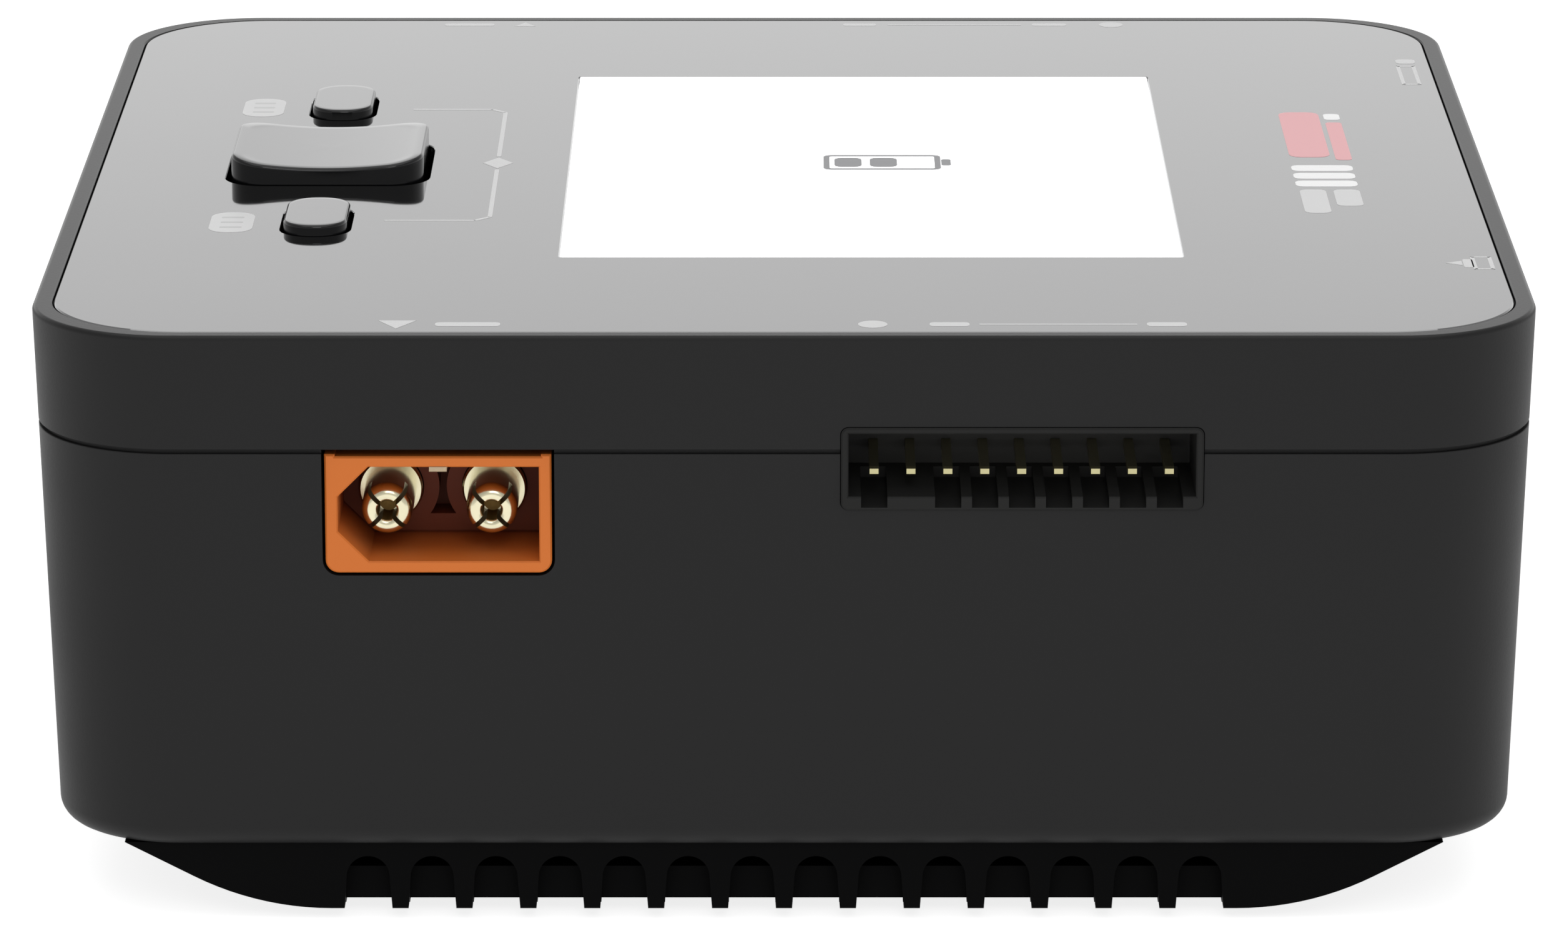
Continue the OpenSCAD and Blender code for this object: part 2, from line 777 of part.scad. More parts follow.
module heat_sink() {
    fin_t = 1.2;
    fin_pitch = 4;
    fins = 14;
    fin_low = 24.9;
    color("#8e9297") translate([0, sink_y, 0]) difference() {
        union() {
            block(sink_w, sink_d, sink_low, sink_t);
            for (i = [0:fins - 1]) translate([(i - (fins - 1) / 2) * fin_pitch, 0, 0])
                block(fin_t, sink_d, fin_low, sink_low - fin_low + 0.5);
        }
        at_corners(sink_screw_x, sink_screw_y) rod(1.35, sink_low - 1, 4);
    }
}

module heat_sink_screws() {
    color("#b0b0b4") translate([0, sink_y, 0]) at_corners(sink_screw_x, sink_screw_y) {
        cross_head(2.1, sink_low, 1.4);
        rod(1.25, sink_low - 0.2, board_top - sink_low + 0.2);
    }
}

module thermal_pad() {
    color("#8fa7c4") translate([0, sink_y, 0]) block(54, 28, sink_low + sink_t, pad_t);
}

module power_transistors() {
    low = sink_low + sink_t + pad_t;
    color("#18181a") translate([0, sink_y, 0]) for (x = [-18:12:18]) for (y = [-8, 8])
        translate([x, y, 0]) block(5, 6, low, board_low - low);
}

module inductors() {
    side = 12;
    height = 9;
    color("#4a4a4e") for (y = [-24:16:24]) translate([-40, y, 0])
        plate(side, side, 1.5, board_low - height, height);
}

module capacitors() {
    can_r = 5;
    can_h = 15;
    color("#2a3a5a") for (y = [-17:11:5]) translate([39, y, 0]) difference() {
        rod(can_r, board_low - can_h, can_h);
        difference() {
            rod(can_r + 1, board_low - 2.4, 0.8);
            rod(can_r - 0.35, board_low - 3, 2);
        }
        for (a = [0, 90]) rotate([0, 0, a]) block(can_r * 1.3, 0.4, board_low - can_h - 1, 1.2);
    }
}

module controller_chips() {
    color("#141416") for (y = [-34, 34]) translate([16, y, 0]) block(9, 9, board_low - 1.2, 1.2);
}

module shunt_resistors() {
    color("#303034") for (y = [-33, 33]) translate([power_x, y, 0]) block(6.4, 3.2, board_low - 0.8, 0.8);
}

module buzzer() {
    color("#141414") translate([-6, -39, 0]) difference() {
        rod(4.5, board_low - 4, 4);
        rod(1, board_low - 5, 3);
    }
}

upper_shell();
lower_shell();
base_cover();
rubber_feet();
case_screws();
threaded_inserts();
top_panel();
panel_adhesive();
display_lens();
lcd_module();
lcd_cushion();
lcd_ribbon();
main_board();
board_screws();
rocker_key();
rocker_pin();
key_bracket();
enter_key();
back_key();
switch_bodies();
up_plunger();
down_plunger();
enter_plunger();
back_plunger();
ch1_power_housing();
ch1_power_pins();
ch2_power_housing();
ch2_power_pins();
dc_input_housing();
dc_input_pins();
ch1_balance_header();
ch1_balance_pins();
ch2_balance_header();
ch2_balance_pins();
usb_shell();
usb_tongue();
fan_frame();
fan_rotor();
fan_shaft();
fan_magnet();
fan_bearing();
fan_stator();
fan_screws();
fan_lead();
fan_connector();
heat_sink();
heat_sink_screws();
thermal_pad();
power_transistors();
inductors();
capacitors();
controller_chips();
shunt_resistors();
buzzer();
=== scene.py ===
# %% [markdown]
# A balance battery charger: a square case on a vented base, a glossy panel with a screen and three keys,
# and a power connector and a balance socket at each end. The engineering model is already packed, so the
# first step loads it. Each later cell makes one kind of piece or one finish around that frame.

import json
import math

import bmesh
import bpy
import numpy as np
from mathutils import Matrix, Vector


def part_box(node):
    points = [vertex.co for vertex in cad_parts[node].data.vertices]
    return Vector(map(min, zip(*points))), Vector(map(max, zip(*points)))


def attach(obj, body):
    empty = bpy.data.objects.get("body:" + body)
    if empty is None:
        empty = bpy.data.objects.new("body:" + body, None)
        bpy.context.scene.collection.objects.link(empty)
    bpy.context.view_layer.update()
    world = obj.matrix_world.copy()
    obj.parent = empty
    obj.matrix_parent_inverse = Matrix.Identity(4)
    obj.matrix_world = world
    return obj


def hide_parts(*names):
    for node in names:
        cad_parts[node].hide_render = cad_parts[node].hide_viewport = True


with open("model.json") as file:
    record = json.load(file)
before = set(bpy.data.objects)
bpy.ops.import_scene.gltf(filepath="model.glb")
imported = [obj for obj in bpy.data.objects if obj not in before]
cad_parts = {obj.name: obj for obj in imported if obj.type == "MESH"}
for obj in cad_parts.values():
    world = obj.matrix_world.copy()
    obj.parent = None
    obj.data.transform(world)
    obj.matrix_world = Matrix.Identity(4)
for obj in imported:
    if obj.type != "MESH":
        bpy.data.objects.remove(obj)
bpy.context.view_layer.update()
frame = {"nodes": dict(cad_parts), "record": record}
nodes = frame["nodes"]
body_of = {node: body for body, names in frame["record"]["behaviour"]["bodies"].items() for node in names}
MM = 0.001

# %% [markdown]
# The charger is looked at from the front and a little above, with a long lens, so its sides stay nearly
# parallel. The camera stands on the middle plane and is only tipped down. A long focal length from far away
# is the choice for product pictures, because a short one would make the front wall bulge.

# %% Camera
scene = bpy.context.scene
eye = (0.0, -0.58204, 0.175355)
pitch_down = math.radians(15.019)
lens = bpy.data.cameras.new("camera")
lens.lens = 186.6
lens.sensor_width = 36.0
lens.clip_start = 0.01
camera = bpy.data.objects.new("camera", lens)
camera.location = eye
camera.rotation_euler = (math.pi / 2 - pitch_down, 0, 0)
scene.collection.objects.link(camera)
scene.camera = camera

# %% [markdown]
# Meshes are worked out as whole numpy arrays, in millimetres, and only turned into metres when a piece is
# made. Two ideas cover nearly every moulded part. A ring is one closed outline. A loft is a stack of rings
# with the same number of points, joined by quads. A shell's wall is then a profile carried along a rounded
# rectangle, and a turned part is a profile carried round a circle.

# %% Outlines
def rounded(half_x, half_y, radius, steps=12):
    """A rounded rectangle, anticlockwise: four quarter circles about the corner centres, (4 steps, 2)."""
    turn = np.arange(4)[:, None] * np.pi / 2 + np.linspace(0, np.pi / 2, steps)[None]
    side_x = np.array([1, -1, -1, 1])[:, None]
    side_y = np.array([1, 1, -1, -1])[:, None]
    x = side_x * (half_x - radius) + radius * np.cos(turn)
    y = side_y * (half_y - radius) + radius * np.sin(turn)
    return np.stack([x, y], -1).reshape(-1, 2)


def circle(radius, steps=48):
    """Points at equal turns about the centre, (steps, 2)."""
    turn = np.arange(steps) * 2 * np.pi / steps
    return radius * np.stack([np.cos(turn), np.sin(turn)], -1)


def finer(outline, step):
    """Splits every long edge into equal parts no longer than step."""
    ahead = np.roll(outline, -1, 0) - outline
    parts = np.ceil(np.linalg.norm(ahead, axis=1) / step).astype(int)
    start = np.repeat(np.arange(len(outline)), parts)
    share = (np.arange(len(start)) - np.repeat(np.cumsum(parts) - parts, parts)) / parts[start]
    return outline[start] + share[:, None] * ahead[start]


def inset(outline, distance):
    """Moves each point inwards along its corner's bisector, so that both edges move by the same distance."""
    edge = np.roll(outline, -1, 0) - outline
    out = np.stack([edge[:, 1], -edge[:, 0]], -1) / np.linalg.norm(edge, axis=1, keepdims=True)
    before = np.roll(out, 1, 0)
    share = 1 + np.sum(out * before, 1, keepdims=True)
    return outline - distance * (out + before) / share


def at(outline, z):
    """Lifts a flat outline to height z, which may differ from point to point."""
    return np.column_stack([outline, np.broadcast_to(z, len(outline))])


# %% Solids from rings
def loft(rings, closed=False):
    """Joins each ring to the next with quads. An open stack gets a flat face at both ends, and a closed one
    joins its last ring to its first. Point (i, j) of the grid has the number i * points + j."""
    rings = np.asarray(rings, float)
    rows, points = rings.shape[:2]
    row = np.arange(rows if closed else rows - 1)[:, None] * points
    here = row + np.arange(points)
    right = row + np.roll(np.arange(points), -1)
    quads = np.stack([here, right, right + points, here + points], -1).reshape(-1, 4) % (rows * points)
    faces = quads.tolist()
    if not closed:
        faces += [list(range(points))[::-1], list(range((rows - 1) * points, rows * points))]
    return rings.reshape(-1, 3), faces


def prism(outline, low, high, chamfer=0.0):
    """Carries an outline straight up, and draws it in at both ends by the chamfer."""
    if not chamfer:
        return loft([at(outline, low), at(outline, high)])
    small = inset(outline, chamfer)
    return loft([at(small, low), at(outline, low + chamfer), at(outline, high - chamfer), at(small, high)])


def turned(profile, steps=48):
    """Carries a profile of (radius, height) points round the Z axis: x = r cos t, y = r sin t."""
    return loft([at(circle(max(radius, 1e-4), steps), z) for radius, z in profile])


def turned_ring(profile, steps=48):
    """The same round the Z axis with a closed profile that stays clear of it: a tube or a bush."""
    return loft([at(circle(radius, steps), z) for radius, z in profile], closed=True)


def box(half_x, half_y, low, high, chamfer=0.0):
    """A block about the Z axis with chamfered edges."""
    corners = np.array([[1, 1], [-1, 1], [-1, -1], [1, -1]], float) * [half_x, half_y]
    return prism(corners, low, high, chamfer)


# %% Moving and joining solids
def placed(mesh, x=0.0, y=0.0, z=0.0, turn=0.0):
    """Turns a solid about Z by so many degrees, then moves it."""
    c, s = math.cos(math.radians(turn)), math.sin(math.radians(turn))
    points, faces = mesh
    return points @ np.array([[c, s, 0], [-s, c, 0], [0, 0, 1]]) + [x, y, z], faces


def upright(mesh):
    """Stands a solid up: its own height runs back along +Y and its outline's second axis runs up."""
    points, faces = mesh
    return points[:, [0, 2, 1]], faces


def together(*meshes):
    """Several solids as one mesh, each still closed by itself."""
    starts = np.cumsum([0] + [len(points) for points, _ in meshes])
    faces = [[i + start for i in face] for (_, own), start in zip(meshes, starts) for face in own]
    return np.concatenate([points for points, _ in meshes]), faces


def repeated(mesh, places):
    """A copy of a solid at each (x, y) or (x, y, z) place."""
    return together(*[placed(mesh, *place) for place in places])


def corners(x, y):
    return [(sx * x, sy * y) for sx in (-1, 1) for sy in (-1, 1)]


# %% [markdown]
# Openings are cut with Blender's exact boolean, on closed solids, and read back as plain arrays. Every mesh
# is cleaned first: points that share a place are merged, which also closes the poles of turned parts, and
# the faces are made to look outwards.

# %% Cutting
def read(items, what):
    """One vector for each item of a mesh, as rows of an array."""
    values = np.empty(len(items) * 3)
    items.foreach_get(what, values)
    return values.reshape(-1, 3)


def clean_mesh(name, mesh, join_flat=False):
    points, faces = mesh
    data = bpy.data.meshes.new(name)
    data.from_pydata(points.tolist(), [], faces)
    work = bmesh.new()
    work.from_mesh(data)
    bmesh.ops.remove_doubles(work, verts=work.verts, dist=0.001)
    bmesh.ops.recalc_face_normals(work, faces=work.faces)
    if join_flat:
        flat = math.radians(0.6)
        bmesh.ops.dissolve_limit(work, angle_limit=flat, verts=work.verts, edges=work.edges)
    work.to_mesh(data)
    work.free()
    return data


def carve(mesh, *cutters, operation="DIFFERENCE"):
    """Takes the cutters out of a solid, and gives back its points and faces."""
    solid = bpy.data.objects.new("solid", clean_mesh("solid", mesh))
    tool = bpy.data.objects.new("tool", clean_mesh("tool", together(*cutters)))
    for item in (solid, tool):
        scene.collection.objects.link(item)
    cut = solid.modifiers.new("cut", "BOOLEAN")
    cut.operation = operation
    cut.object = tool
    cut.solver = "EXACT"
    cut.use_self = len(cutters) > 1
    result = solid.evaluated_get(bpy.context.evaluated_depsgraph_get()).to_mesh()
    points = read(result.vertices, "co")
    faces = [list(polygon.vertices) for polygon in result.polygons]
    for item in (solid, tool):
        data = item.data
        bpy.data.objects.remove(item)
        bpy.data.meshes.remove(data)
    return points, faces


def cad_solid(node):
    """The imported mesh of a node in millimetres, as points and faces."""
    data = nodes[node].data
    return read(data.vertices, "co") / MM, [list(polygon.vertices) for polygon in data.polygons]


# %% Making a piece
def looks_up(centre, normal):
    """True for the faces that look straight up."""
    return normal[:, 2] > 0.97


def piece(name, mesh, finish, node=None, body=None, slot=None, sharp=32.0, edge=0.0, second=None,
    test=looks_up):
    """Makes an object in metres that rides on its node's body and stands for that node.
    edge is the width of a bevel on its sharp edges. The faces that pass the test take the second finish."""
    data = clean_mesh(name, mesh, join_flat=edge > 0)
    data.vertices.foreach_set("co", read(data.vertices, "co").ravel() * MM)
    data.shade_smooth()
    data.set_sharp_from_angle(angle=math.radians(sharp))
    data.materials.append(finish)
    made = bpy.data.objects.new(name, data)
    scene.collection.objects.link(made)
    if second:
        data.materials.append(second)
        centre, normal = (read(data.polygons, what) for what in ("center", "normal"))
        data.polygons.foreach_set("material_index", test(centre / MM, normal).astype(np.int32))
    if edge:
        bevel = made.modifiers.new("edges", "BEVEL")
        bevel.width = edge * MM
        bevel.segments = 2
        bevel.limit_method = "ANGLE"
        bevel.angle_limit = math.radians(sharp)
        bevel.use_clamp_overlap = True
    even = made.modifiers.new("even normals", "WEIGHTED_NORMAL")
    even.keep_sharp = True
    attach(made, body or body_of[node])
    if node:
        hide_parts(node)
    return made


def low_high(node):
    """A node's lowest and highest corners in millimetres."""
    low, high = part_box(node)
    return np.array(low) / MM, np.array(high) / MM


def middle(node):
    low, high = low_high(node)
    return (low + high) / 2


# %% [markdown]
# Shader maths reads better as plain expressions than as boxes and wires. Signal wraps one output socket, and
# its operators add Math nodes. Every other node comes from Graph.node, which takes the node's type, its
# settings and its inputs. All patterns read Object coordinates, which are metres in the charger's own frame.

# %% Shader tools
class Signal:
    """One value that changes over a surface. + - * / and ** add Math nodes."""

    def __init__(self, shader, socket):
        self.shader = shader
        self.socket = socket

    def math(self, operation, *items, clamp=False):
        inputs = dict(enumerate(items))
        return self.shader.node("Math", {"operation": operation, "use_clamp": clamp}, inputs)

    def __add__(self, other):
        return self.math("ADD", self, other)

    def __sub__(self, other):
        return self.math("SUBTRACT", self, other)

    def __rsub__(self, other):
        return self.math("SUBTRACT", other, self)

    def __mul__(self, other):
        return self.math("MULTIPLY", self, other)

    def __truediv__(self, other):
        return self.math("DIVIDE", self, other)

    def __pow__(self, other):
        return self.math("POWER", self, other)

    __radd__ = __add__
    __rmul__ = __mul__

    def abs(self):
        return self.math("ABSOLUTE", self)

    def fraction(self):
        return self.math("FRACT", self)

    def above(self, edge, soft=1e-5):
        """0 below the edge and 1 above it, with a short ramp between."""
        return self.math("MULTIPLY_ADD", self - edge, 1 / soft, 0.5, clamp=True)


class Graph:
    """A node tree and its main node, with the coordinates that its patterns read."""

    def __init__(self, owner, main, coordinates):
        owner.use_nodes = True
        self.tree = owner.node_tree
        self.main = self.tree.nodes[main]
        self.place = self.node("TexCoord", output=coordinates)

    def node(self, kind, settings=None, inputs=None, output=0):
        made = self.tree.nodes.new("ShaderNode" + kind)
        for key, value in (settings or {}).items():
            setattr(made, key, value)
        for key, value in (inputs or {}).items():
            self.feed(made.inputs[key], value)
        return Signal(self, made.outputs[output])

    def feed(self, socket, value):
        if isinstance(value, Signal):
            self.tree.links.new(value.socket, socket)
        else:
            socket.default_value = value

    def set(self, name, value):
        self.feed(self.main.inputs[name], value)

    def axis(self, letter):
        return self.node("SeparateXYZ", inputs={0: self.place}, output=letter)


class Shader(Graph):
    """A material with one Principled shader."""

    def __init__(self, name, colour, rough, **constants):
        self.material = bpy.data.materials.new(name)
        super().__init__(self.material, "Principled BSDF", "Object")
        self.set("Base Color", (*colour, 1.0))
        self.set("Roughness", rough)
        for key, value in constants.items():
            self.set(key.replace("_", " "), value)

    def noise(self, size, detail=2.0, rough=0.5, stretch=None):
        """Cloudy noise with patches of about size millimetres, between 0 and 1."""
        where = self.place
        if stretch:
            where = self.node("Mapping", inputs={"Vector": where, "Scale": stretch})
        inputs = {"Vector": where, "Scale": 1 / (size * MM), "Detail": detail, "Roughness": rough}
        return self.node("TexNoise", inputs=inputs)

    def blend(self, share, first, second):
        """A colour between two, by a share from 0 to 1."""
        return self.node("Mix", {"data_type": "RGBA"}, {"Factor": share, 6: first, 7: second}, output=2)

    def raise_surface(self, height, depth, strength=1.0):
        """Bumps the surface by a height signal, depth in millimetres."""
        inputs = {"Height": height, "Distance": depth * MM, "Strength": strength}
        self.set("Normal", self.node("Bump", inputs=inputs))


def shade(colour, times):
    return tuple(min(1.0, c * times) for c in colour) + (1.0,)


# %% [markdown]
# Moulded plastic is never one flat tone. The steel mould is spark-eroded, which leaves a fine grain, and
# handling leaves broad, faint patches that are a little shinier. So every plastic here has a grain that feeds
# the bump, and a slow noise that moves the roughness and, slightly, the colour.

# %% Moulded plastics
def moulded(name, colour, rough, grain=0.22, depth=0.006, patch=14.0, spread=0.10, **constants):
    shader = Shader(name, colour, rough, **constants)
    cloud = shader.noise(patch, detail=3.0)
    fine = shader.noise(grain, detail=1.0)
    shader.set("Roughness", cloud * (2 * spread) + fine * 0.06 + (rough - spread - 0.03))
    tone = cloud * 0.6 + fine * 0.4
    shader.set("Base Color", shader.blend(tone, shade(colour, 0.82), shade(colour, 1.18)))
    shader.raise_surface(fine, depth)
    return shader.material



def case_finish():
    """The case's satin black. The rim round the panel is polished: its top 0.12 mm is smoother, so it catches
    the sky behind the case as a pale line, and there its colour is painted a little lighter, a painted
    highlight."""
    shader = Shader("case_plastic", (0.0095, 0.0095, 0.0097), 0.5, Specular_IOR_Level=0.19)
    cloud = shader.noise(14.0, detail=3.0)
    fine = shader.noise(0.22, detail=1.0)
    polish = 0.12
    polish_and_painted_highlight = shader.axis("Z").above((rim_z - polish) * MM, 1e-4)
    satin = cloud * 0.16 + fine * 0.06 + 0.42
    shader.set("Roughness", satin * (1 - polish_and_painted_highlight) + polish_and_painted_highlight * 0.30)
    tone = shader.blend(cloud * 0.6 + fine * 0.4, (0.008, 0.008, 0.008, 1.0), (0.011, 0.011, 0.0112, 1.0))
    # The rim band's lighter colour is a painted highlight, added on top of its real polish.
    shader.set("Base Color", shader.blend(polish_and_painted_highlight, tone, (0.012, 0.012, 0.012, 1.0)))
    shader.raise_surface(fine, 0.006)
    return shader.material


def nylon_with_painted_depth(name, face, painted_floor_tone, floor, power, rough, **constants):
    """Nylon with painted light and shade by depth: its colour goes from its face, at a wall's surface, to a
    painted tone at the floor of its socket. The mix is ((out - floor) / (wall_face - floor)) ** power. The
    larger of |x| and
    |y| tells how far out a point is, for a connector in any wall."""
    shader = Shader(name, face, rough, **constants)
    across = shader.axis("X").abs()
    out = across.math("MAXIMUM", across, shader.axis("Y").abs())
    wall_face = 51.6
    step = (out - floor * MM) / ((wall_face - floor) * MM)
    painted_depth_share = step.math("MAXIMUM", step, 0.0) ** power
    fine = shader.noise(0.15, detail=1.0)
    # Painted light and shade: deeper in the socket the colour turns to the painted floor tone.
    shader.set("Base Color", shader.blend(painted_depth_share, painted_floor_tone + (1.0,), face + (1.0,)))
    shader.set("Roughness", fine * 0.1 + (rough - 0.05))
    shader.raise_surface(fine, 0.004)
    return shader.material


rim_z = low_high("upper_shell")[1][2]
case_plastic = case_finish()
base_plastic = moulded("base_plastic", (0.0022, 0.0022, 0.0023), 0.55, Specular_IOR_Level=0.03)
# The floor tones are painted: lighter than the face inside the balance socket, painted shade inside the power
# housing.
header_nylon = nylon_with_painted_depth("header_nylon", (0.017, 0.017, 0.0165), (0.075, 0.074, 0.072), 43.2, 0.45, 0.5,
    Specular_IOR_Level=0.08)
orange_nylon = nylon_with_painted_depth("orange_nylon", (0.56, 0.145, 0.024), (0.16, 0.036, 0.014), 44.0, 0.28, 0.5,
    Specular_IOR_Level=0.22)
key_side_plastic = moulded("key_side_plastic", (0.004, 0.004, 0.0044), 0.12, depth=0.0006, spread=0.04,
    Specular_IOR_Level=0.36)
bracket_plastic = moulded("bracket_plastic", (0.02, 0.02, 0.024), 0.5)
switch_plastic = moulded("switch_plastic", (0.55, 0.55, 0.55), 0.45)
fan_plastic = moulded("fan_plastic", (0.012, 0.012, 0.014), 0.38)
pale_ridge_nylon = moulded("pale_ridge_nylon", (0.42, 0.32, 0.20), 0.5)
plug_nylon = moulded("plug_nylon", (0.72, 0.66, 0.52), 0.4)
chip_epoxy = moulded("chip_epoxy", (0.012, 0.012, 0.013), 0.55, grain=0.08)
foot_rubber = moulded("foot_rubber", (0.016, 0.016, 0.016), 0.8, grain=0.35, depth=0.02)
foam = moulded("foam", (0.02, 0.02, 0.02), 0.9, grain=0.3, depth=0.06)
wire_skin = moulded("wire_skin", (0.45, 0.015, 0.015), 0.4, grain=0.3, depth=0.002)
pad_silicone = moulded("pad_silicone", (0.25, 0.38, 0.55), 0.65, grain=0.4, depth=0.02)


# %% [markdown]
# The panel's top is polished and coated, so it acts as a grey mirror: the keys' dark sides are seen again,
# upside down, in the surface under them. A metallic shader with a mid grey colour and almost no roughness
# gives that. Its cut edges are not coated, so below the top face it turns to plain black plastic.

# %% The panel's mirror coat
def coated(name, colour, rough, top):
    shader = Shader(name, colour, rough, Coat_Weight=0.0)
    cloud = shader.noise(22.0, detail=4.0)
    film = shader.noise(1.6, detail=2.0)
    on_top = shader.axis("Z").above(top * MM, 1e-5)
    tone = shader.blend(cloud, shade(colour, 0.985), shade(colour, 1.015))
    shader.set("Base Color", shader.blend(on_top, (0.006, 0.006, 0.006, 1.0), tone))
    shader.set("Metallic", on_top * 1.0)
    shader.set("Roughness", cloud * 0.03 + film * 0.015 + (rough - 0.022))
    shader.raise_surface(film, 0.0004)
    return shader.material


panel_top = low_high("top_panel")[1][2]
panel_coat = coated("panel_coat", (0.252, 0.252, 0.253), 0.05, panel_top - 0.3)
key_coat = coated("key_coat", (0.25, 0.25, 0.251), 0.09, panel_top - 0.3)

# %% [markdown]
# Prints are thin layers of ink. A print reflects less than the coat around it, and it scatters more, so each
# ink is a satin colour with a slight speckle where the screen mesh leaves the film uneven.

# %% Inks and the lit screen
def ink(name, colour, rough=0.35):
    shader = Shader(name, colour, rough)
    speck = shader.noise(0.12, detail=1.0)
    shader.set("Base Color", shader.blend(speck, shade(colour, 0.93), shade(colour, 1.05)))
    shader.set("Roughness", speck * 0.12 + (rough - 0.06))
    return shader.material


light_ink = ink("light_ink", (0.65, 0.65, 0.65))
badge_ink = ink("badge_ink", (0.66, 0.66, 0.66))
faint_ink = ink("faint_ink", (0.54, 0.54, 0.54))
white_ink = ink("white_ink", (0.94, 0.94, 0.94))
red_ink = ink("red_ink", (0.80, 0.37, 0.39))
screen_ink = ink("screen_ink", (0.30, 0.30, 0.31), 0.5)


def lit_screen():
    """Bright white, with the fine grid of the display's dots as a faint change of brightness."""
    shader = Shader("lit_screen", (0.9, 0.9, 0.9), 0.08, Emission_Strength=0.75)
    dot = 0.18 * MM
    across, along = [(shader.axis(letter) / dot).fraction().above(0.12, 0.1) for letter in "XY"]
    level = across * along
    glow = shader.blend(level, (0.93, 0.94, 0.96, 1.0), (1.0, 1.0, 1.0, 1.0))
    shader.set("Emission Color", glow)
    shader.set("Base Color", shader.blend(level, (0.86, 0.87, 0.88, 1.0), (0.9, 0.9, 0.9, 1.0)))
    return shader.material


screen_glow = lit_screen()


# %% [markdown]
# Metals get their character from how they were worked. Turned and drawn parts carry fine lines along or
# round the part, plated ones are smooth with slow changes in tone, and an extrusion has long die lines.

# %% Metals
def metal(name, colour, rough, patch=3.0, stretch=None, depth=0.002, spread=0.07):
    shader = Shader(name, colour, rough, Metallic=1.0)
    cloud = shader.noise(patch, detail=3.0)
    lines = shader.noise(0.2, detail=2.0, stretch=stretch)
    shader.set("Base Color", shader.blend(cloud, shade(colour, 0.88), shade(colour, 1.08)))
    shader.set("Roughness", cloud * spread + lines * spread + (rough - spread))
    shader.raise_surface(lines, depth)
    return shader.material


gold = metal("gold", (0.72, 0.67, 0.47), 0.2, patch=1.2, depth=0.001, spread=0.06)
tap_gold = metal("tap_gold", (0.50, 0.46, 0.26), 0.3, patch=1.2, depth=0.001, spread=0.06)
# A dark brown brass for the pins' bores and slits, darkened as painted shade in those hollows.
pin_hollow_shade = metal("pin_hollow_shade", (0.24, 0.15, 0.05), 0.5, patch=1.2, depth=0.001, spread=0.06)
steel = metal("steel", (0.56, 0.57, 0.58), 0.3)
black_steel = metal("black_steel", (0.05, 0.05, 0.052), 0.38)
brass = metal("brass", (0.72, 0.52, 0.24), 0.3)
bronze = metal("bronze", (0.55, 0.38, 0.19), 0.45, depth=0.006)
aluminium = metal("aluminium", (0.62, 0.63, 0.65), 0.36, patch=6.0, stretch=(1, 0.04, 1), depth=0.008)
magnet = metal("magnet", (0.10, 0.10, 0.11), 0.6, depth=0.01)
ferrite = moulded("ferrite", (0.06, 0.06, 0.065), 0.6, grain=0.15, depth=0.012)
can_sleeve = moulded("can_sleeve", (0.02, 0.035, 0.10), 0.35, depth=0.001)


# %% Wound copper
def wound_copper():
    """Enamelled wire laid side by side: the height is a triangle wave along Z, one wire each 0.3 mm."""
    shader = Shader("wound_copper", (0.62, 0.25, 0.09), 0.3, Metallic=0.9)
    wire = (shader.axis("Z") / (0.3 * MM)).fraction()
    crown_height_and_shade = 1 - (wire * 2 - 1).abs()
    cloud = shader.noise(1.5, detail=2.0)
    # Painted shade and highlight: the grooves between the wires are painted darker and their crowns lighter,
    # mixed with a random cloud.
    shader.set("Base Color", shader.blend(crown_height_and_shade * cloud, (0.30, 0.09, 0.03, 1.0), (0.72, 0.32, 0.12, 1.0)))
    shader.raise_surface(crown_height_and_shade, 0.1)
    return shader.material


copper = wound_copper()


# %% Circuit board, display and film
def board_finish():
    """Green solder mask with straight tracks under it: a track shows where a wide noise, sampled on a
    coarse grid, picks one of two directions, and stripes run along it."""
    shader = Shader("board_finish", (0.008, 0.09, 0.035), 0.28, Specular_IOR_Level=0.5)
    pick = shader.noise(9.0, detail=0.0).above(0.5, 0.002)
    pitch = 0.8 * MM
    stripe_x, stripe_y = [(shader.axis(letter) / pitch).fraction().above(0.55, 0.06) for letter in "XY"]
    track = stripe_x * pick + stripe_y * (1 - pick)
    zone = shader.noise(5.0, detail=1.0).above(0.45, 0.02)
    line = track * zone
    shader.set("Base Color", shader.blend(line, (0.006, 0.075, 0.03, 1.0), (0.012, 0.15, 0.06, 1.0)))
    shader.set("Roughness", shader.noise(0.5) * 0.1 + 0.22)
    shader.raise_surface(line, 0.03)
    return shader.material


board_mask = board_finish()
display_frame = metal("display_frame", (0.72, 0.73, 0.75), 0.3, stretch=(0.05, 1, 1))
amber_film = moulded("amber_film", (0.42, 0.17, 0.03), 0.25, grain=0.6, depth=0.002)
black_tape = moulded("black_tape", (0.015, 0.015, 0.015), 0.6, grain=0.25)

# %% [markdown]
# The case is two shells that meet at a thin groove. Each is one profile carried along a rounded rectangle,
# so a stack of rings describes it. The list of rings starts on the flat inside, runs down or up the inner
# wall, turns round the edge, and comes back over the outside. The outer wall leans out by 1.9 degrees, the
# draft that lets the moulding leave its mould.

# %% The case walls
rim_x, rim_y = low_high("upper_shell")[1][:2]
draft = math.tan(math.radians(1.9))
rim_radius = 10.0
split_low = low_high("base_cover")[1][2]
groove_low, groove_high = 33.75, 34.05


def wall(z, inward=0.0):
    """The outer wall's ring at height z: a half side shrinks by the draft times the depth below the rim."""
    less = (rim_z - z) * draft + inward
    return at(rounded(rim_x - less, rim_y - less, rim_radius - less, 26), z)


def inner(size, z, grow=0.0):
    """A ring inside the case: a size of (half x, half y, radius), grown on all sides."""
    return at(rounded(*(value + grow for value in size), 26), z)


